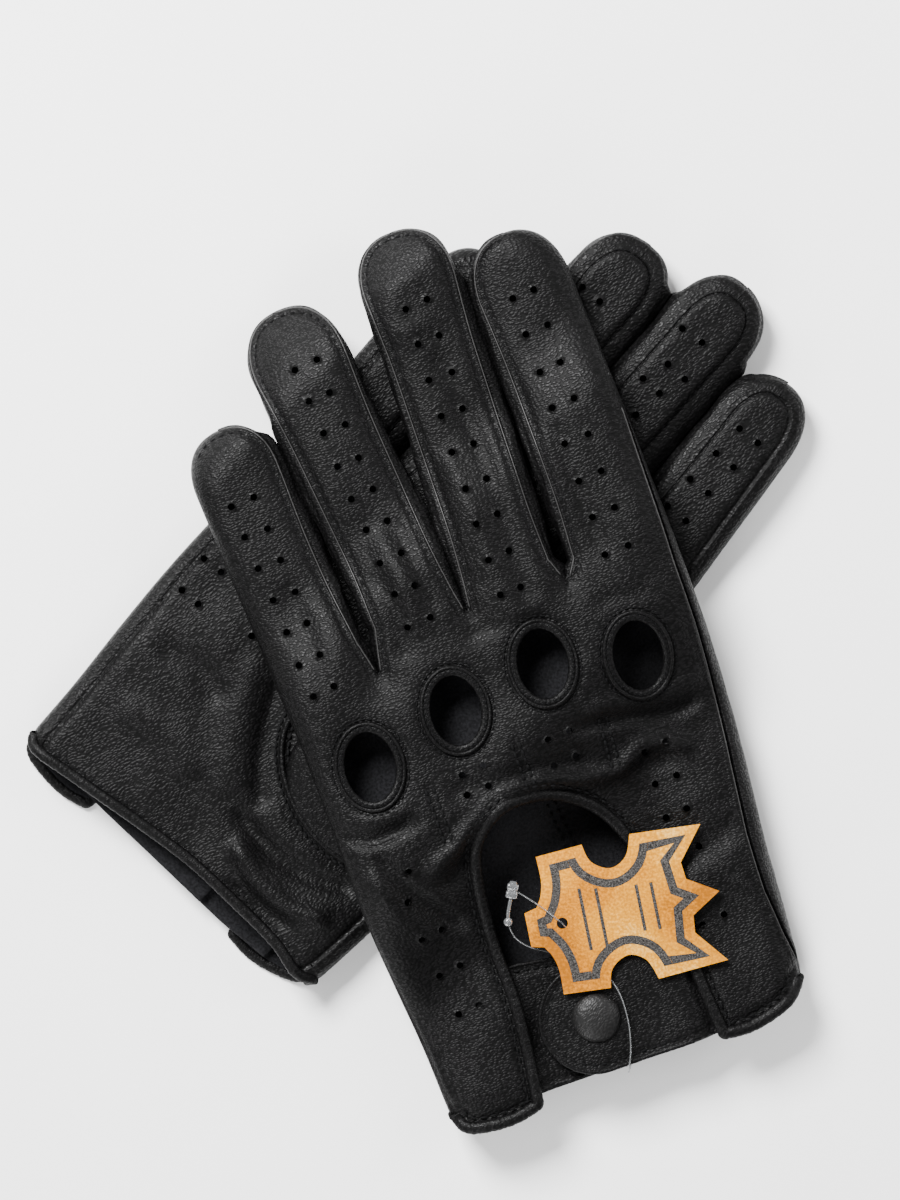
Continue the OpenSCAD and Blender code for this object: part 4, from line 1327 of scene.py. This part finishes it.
def leather(name, along_deg=0.0, grain=1.0, base=(0.0018, 0.0017, 0.0018), rough=(0.35, 0.45), depth=0.00011,
            shine=0.09):
    """Black nappa: small rounded pebbles, longer one way, painted darker in the creases between them and
    lighter on their tops: painted shade and painted highlight on the grain.
    """
    nt, b = nodes_of(name)
    place = node(nt, "ShaderNodeTexCoord").outputs["Object"]
    turned = node(nt, "ShaderNodeMapping", Vector=place, Rotation=(0, 0, -math.radians(along_deg))).outputs[0]
    warp = node(nt, "ShaderNodeTexNoise", Vector=turned, Scale=300.0 / grain, Detail=1.0)
    bent = maths(nt, "MULTIPLY_ADD", warp.outputs["Color"], (0.0011 * grain, 0.0015 * grain, 0.0008 * grain),
                 turned, kind="ShaderNodeVectorMath")
    sized = maths(nt, "MULTIPLY", bent, (960 / grain, 1720 / grain, 1280 / grain),
                  kind="ShaderNodeVectorMath")
    cell = node(nt, "ShaderNodeTexVoronoi", Vector=sized, Scale=1.0, feature="SMOOTH_F1", Smoothness=0.3,
                Randomness=0.8)
    fine = node(nt, "ShaderNodeTexNoise", Vector=turned, Scale=2600.0, Detail=2.0)
    patch = node(nt, "ShaderNodeTexNoise", Vector=place, Scale=34.0, Detail=4.0)
    pebble = ramp(nt, cell.outputs["Distance"], [(0.08, 1.0), (0.34, 0.8), (0.5, 0.35), (0.66, 0.0)])
    shade = ramp(nt, patch.outputs["Fac"], [(0.3, 0.65), (0.7, 1.0)])
    # colour from a tenth of base in the creases to 2.6 times base on the pebbles' tops, varied by random
    # patches: painted shade in the creases, painted highlight on the tops
    painted_crease_shade_tone = node(nt, "ShaderNodeMix", data_type="RGBA", A=(*[c * 0.1 for c in base], 1),
                B=(*[c * 2.6 for c in base], 1), Factor=maths(nt, "MULTIPLY", pebble, shade))
    surface(nt, b, painted_crease_shade_tone.outputs["Result"], spread_over(nt, pebble, 0.0, 1.0, rough[1] + 0.12, rough[0]),
            maths(nt, "ADD", pebble, maths(nt, "MULTIPLY", fine.outputs["Fac"], 0.12)), depth)
    b.inputs["Specular IOR Level"].default_value = shine


def plain_noise(name, base, vary, rough, scale, depth, **more):
    """One colour, varied by a noise that also sets the roughness and the bumps; more goes to the shader."""
    nt, b = nodes_of(name)
    place = node(nt, "ShaderNodeTexCoord").outputs["Object"]
    fac = node(nt, "ShaderNodeTexNoise", Vector=place, Scale=scale, Detail=4.0).outputs["Fac"]
    lo = tuple(c * (1 - vary) for c in base)
    hi = tuple(min(1, c * (1 + vary)) for c in base)
    surface(nt, b, ramp(nt, fac, [(0.3, lo), (0.7, hi)]), spread_over(nt, fac, 0.3, 0.7, *rough), fac, depth)
    for k, v in more.items():
        b.inputs[k.replace("_", " ")].default_value = v


def foil(name):
    """Printed gold foil: broad lighter and darker zones, a painted reflection, with a fine sparkle."""
    nt, b = nodes_of(name)
    place = node(nt, "ShaderNodeTexCoord").outputs["Object"]
    painted_reflection_zone = node(nt, "ShaderNodeTexNoise", Vector=place, Scale=42.0, Detail=1.5).outputs["Fac"]
    spark = node(nt, "ShaderNodeTexNoise", Vector=place, Scale=1500.0, Detail=3.0).outputs["Fac"]
    both = maths(nt, "ADD", painted_reflection_zone, maths(nt, "MULTIPLY", spark, 0.32))
    # the broad zones lighten and darken the gold as a painted reflection
    gold = ramp(nt, both, [(0.5, (0.45, 0.145, 0.002)), (0.62, (0.66, 0.235, 0.004)),
                           (0.76, (0.84, 0.35, 0.012)), (0.88, (1.0, 0.56, 0.12))])
    surface(nt, b, gold, ramp(nt, spark, [(0.35, 0.28), (0.65, 0.46)]), spark, 0.00005)
    b.inputs["Metallic"].default_value = 0.6


def materials():
    leather("left_leather", 19)
    leather("right_leather", 32, 1.08)
    leather("binding", 40, 0.8, rough=(0.34, 0.44), depth=0.00006)
    # the cap's leather is painted about twice as light as the gloves': painted light for its broadly lit face
    leather("cap", 50, 1.0, base=(0.0035, 0.0033, 0.0033), rough=(0.4, 0.48), depth=0.00007, shine=0.25)
    plain_noise("suede", (0.0065, 0.0065, 0.0073), 0.6, (0.9, 0.99), 1500.0, 0.0002,
                Specular_IOR_Level=0.05, Sheen_Weight=0.02, Sheen_Roughness=0.6)
    plain_noise("thread", (0.0022, 0.0022, 0.0024), 0.35, (0.8, 0.95), 5200.0, 0.00008,
                Specular_IOR_Level=0.1)
    # about three times as light as the leather: the painted highlight of the beads along the seams
    plain_noise("edge", (0.015, 0.0145, 0.0145), 0.3, (0.4, 0.55), 2600.0, 0.00006, Specular_IOR_Level=0.3)
    plain_noise("snap", (0.16, 0.155, 0.15), 0.2, (0.28, 0.42), 700.0, 0.00003, Metallic=1.0)
    foil("card")
    plain_noise("ink", (0.075, 0.07, 0.066), 0.85, (0.22, 0.45), 2800.0, 0.00006, Metallic=0.75)
    plain_noise("nylon", (0.4, 0.41, 0.42), 0.08, (0.12, 0.24), 900.0, 0.00003, Transmission_Weight=0.85,
                IOR=1.5)
    plain_noise("floor", (0.93, 0.93, 0.93), 0.01, (0.7, 0.75), 30.0, 0.0)


# ---------------------------------------------------------------- camera, floor and light
# In metres: the camera's place, the height it is framed on, and the length the frame's height shows there
CAMERA_AT, FRAMED_AT, SEEN = (0.0094, 0.0219, 1.25), 0.016, 0.3226
SENSOR = 24
FLOOR_HALF = 3.0
WORLD_LIGHT = 0.48
LIGHTS = (("key", (-0.5, 0.72, 0.95), 0.5, 72), ("side", (1.0, 0.35, 0.75), 0.6, 9),
          ("low", (-0.35, -1.0, 0.6), 0.7, 14))      # name, place, size in m, power in W
LIT_POINT = (0, 0, 0.01)


def camera_and_light():
    cam = bpy.data.cameras.new("camera")
    cam.sensor_fit = "VERTICAL"
    cam.sensor_height = SENSOR
    cam.lens = SENSOR * (CAMERA_AT[2] - FRAMED_AT) / SEEN
    cam.clip_start, cam.clip_end = 0.01, 10
    bpy.context.scene.camera = add("camera", cam, CAMERA_AT)
    me = bpy.data.meshes.new("floor")
    r = FLOOR_HALF
    me.from_pydata([(-r, -r, 0), (r, -r, 0), (r, r, 0), (-r, r, 0)], [], [(0, 1, 2, 3)])
    me.materials.append(MATS["floor"])
    add("floor", me)
    w = bpy.data.worlds.new("soft")
    w.use_nodes = True
    back = w.node_tree.nodes["Background"]
    back.inputs[0].default_value, back.inputs[1].default_value = (1, 1, 1, 1), WORLD_LIGHT
    bpy.context.scene.world = w
    for name, loc, size, power in LIGHTS:
        li = bpy.data.lights.new(name, "AREA")
        li.shape, li.size, li.energy = "SQUARE", size, power
        ob = add(name, li, loc)
        ob.rotation_euler = Vector(arr(loc) - arr(LIT_POINT)).to_track_quat("Z", "Y").to_euler()


def dress_cad():
    """Snap parts stay as CAD solids with a metal finish."""
    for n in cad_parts:
        ob = bpy.data.objects.get(n) if "snap" in n else None
        for s in ob.material_slots if ob else ():
            s.material = MATS["snap"]


# ---------------------------------------------------------------- the build
materials()
camera_and_light()
loop_parts()
tag_parts()
for g in (LEFT, RIGHT):
    back_panel(g)
    palm_panel(g)
    fourchettes(g)
    side_strip(g)
    rings(g)
    pipings(g)
    seam_stitching(g)
    beads(g)
    strap_parts(g)
    thumb(g)
flush_threads()
dress_cad()
for ob, a, b, s, e in BLENDS:
    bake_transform(ob)
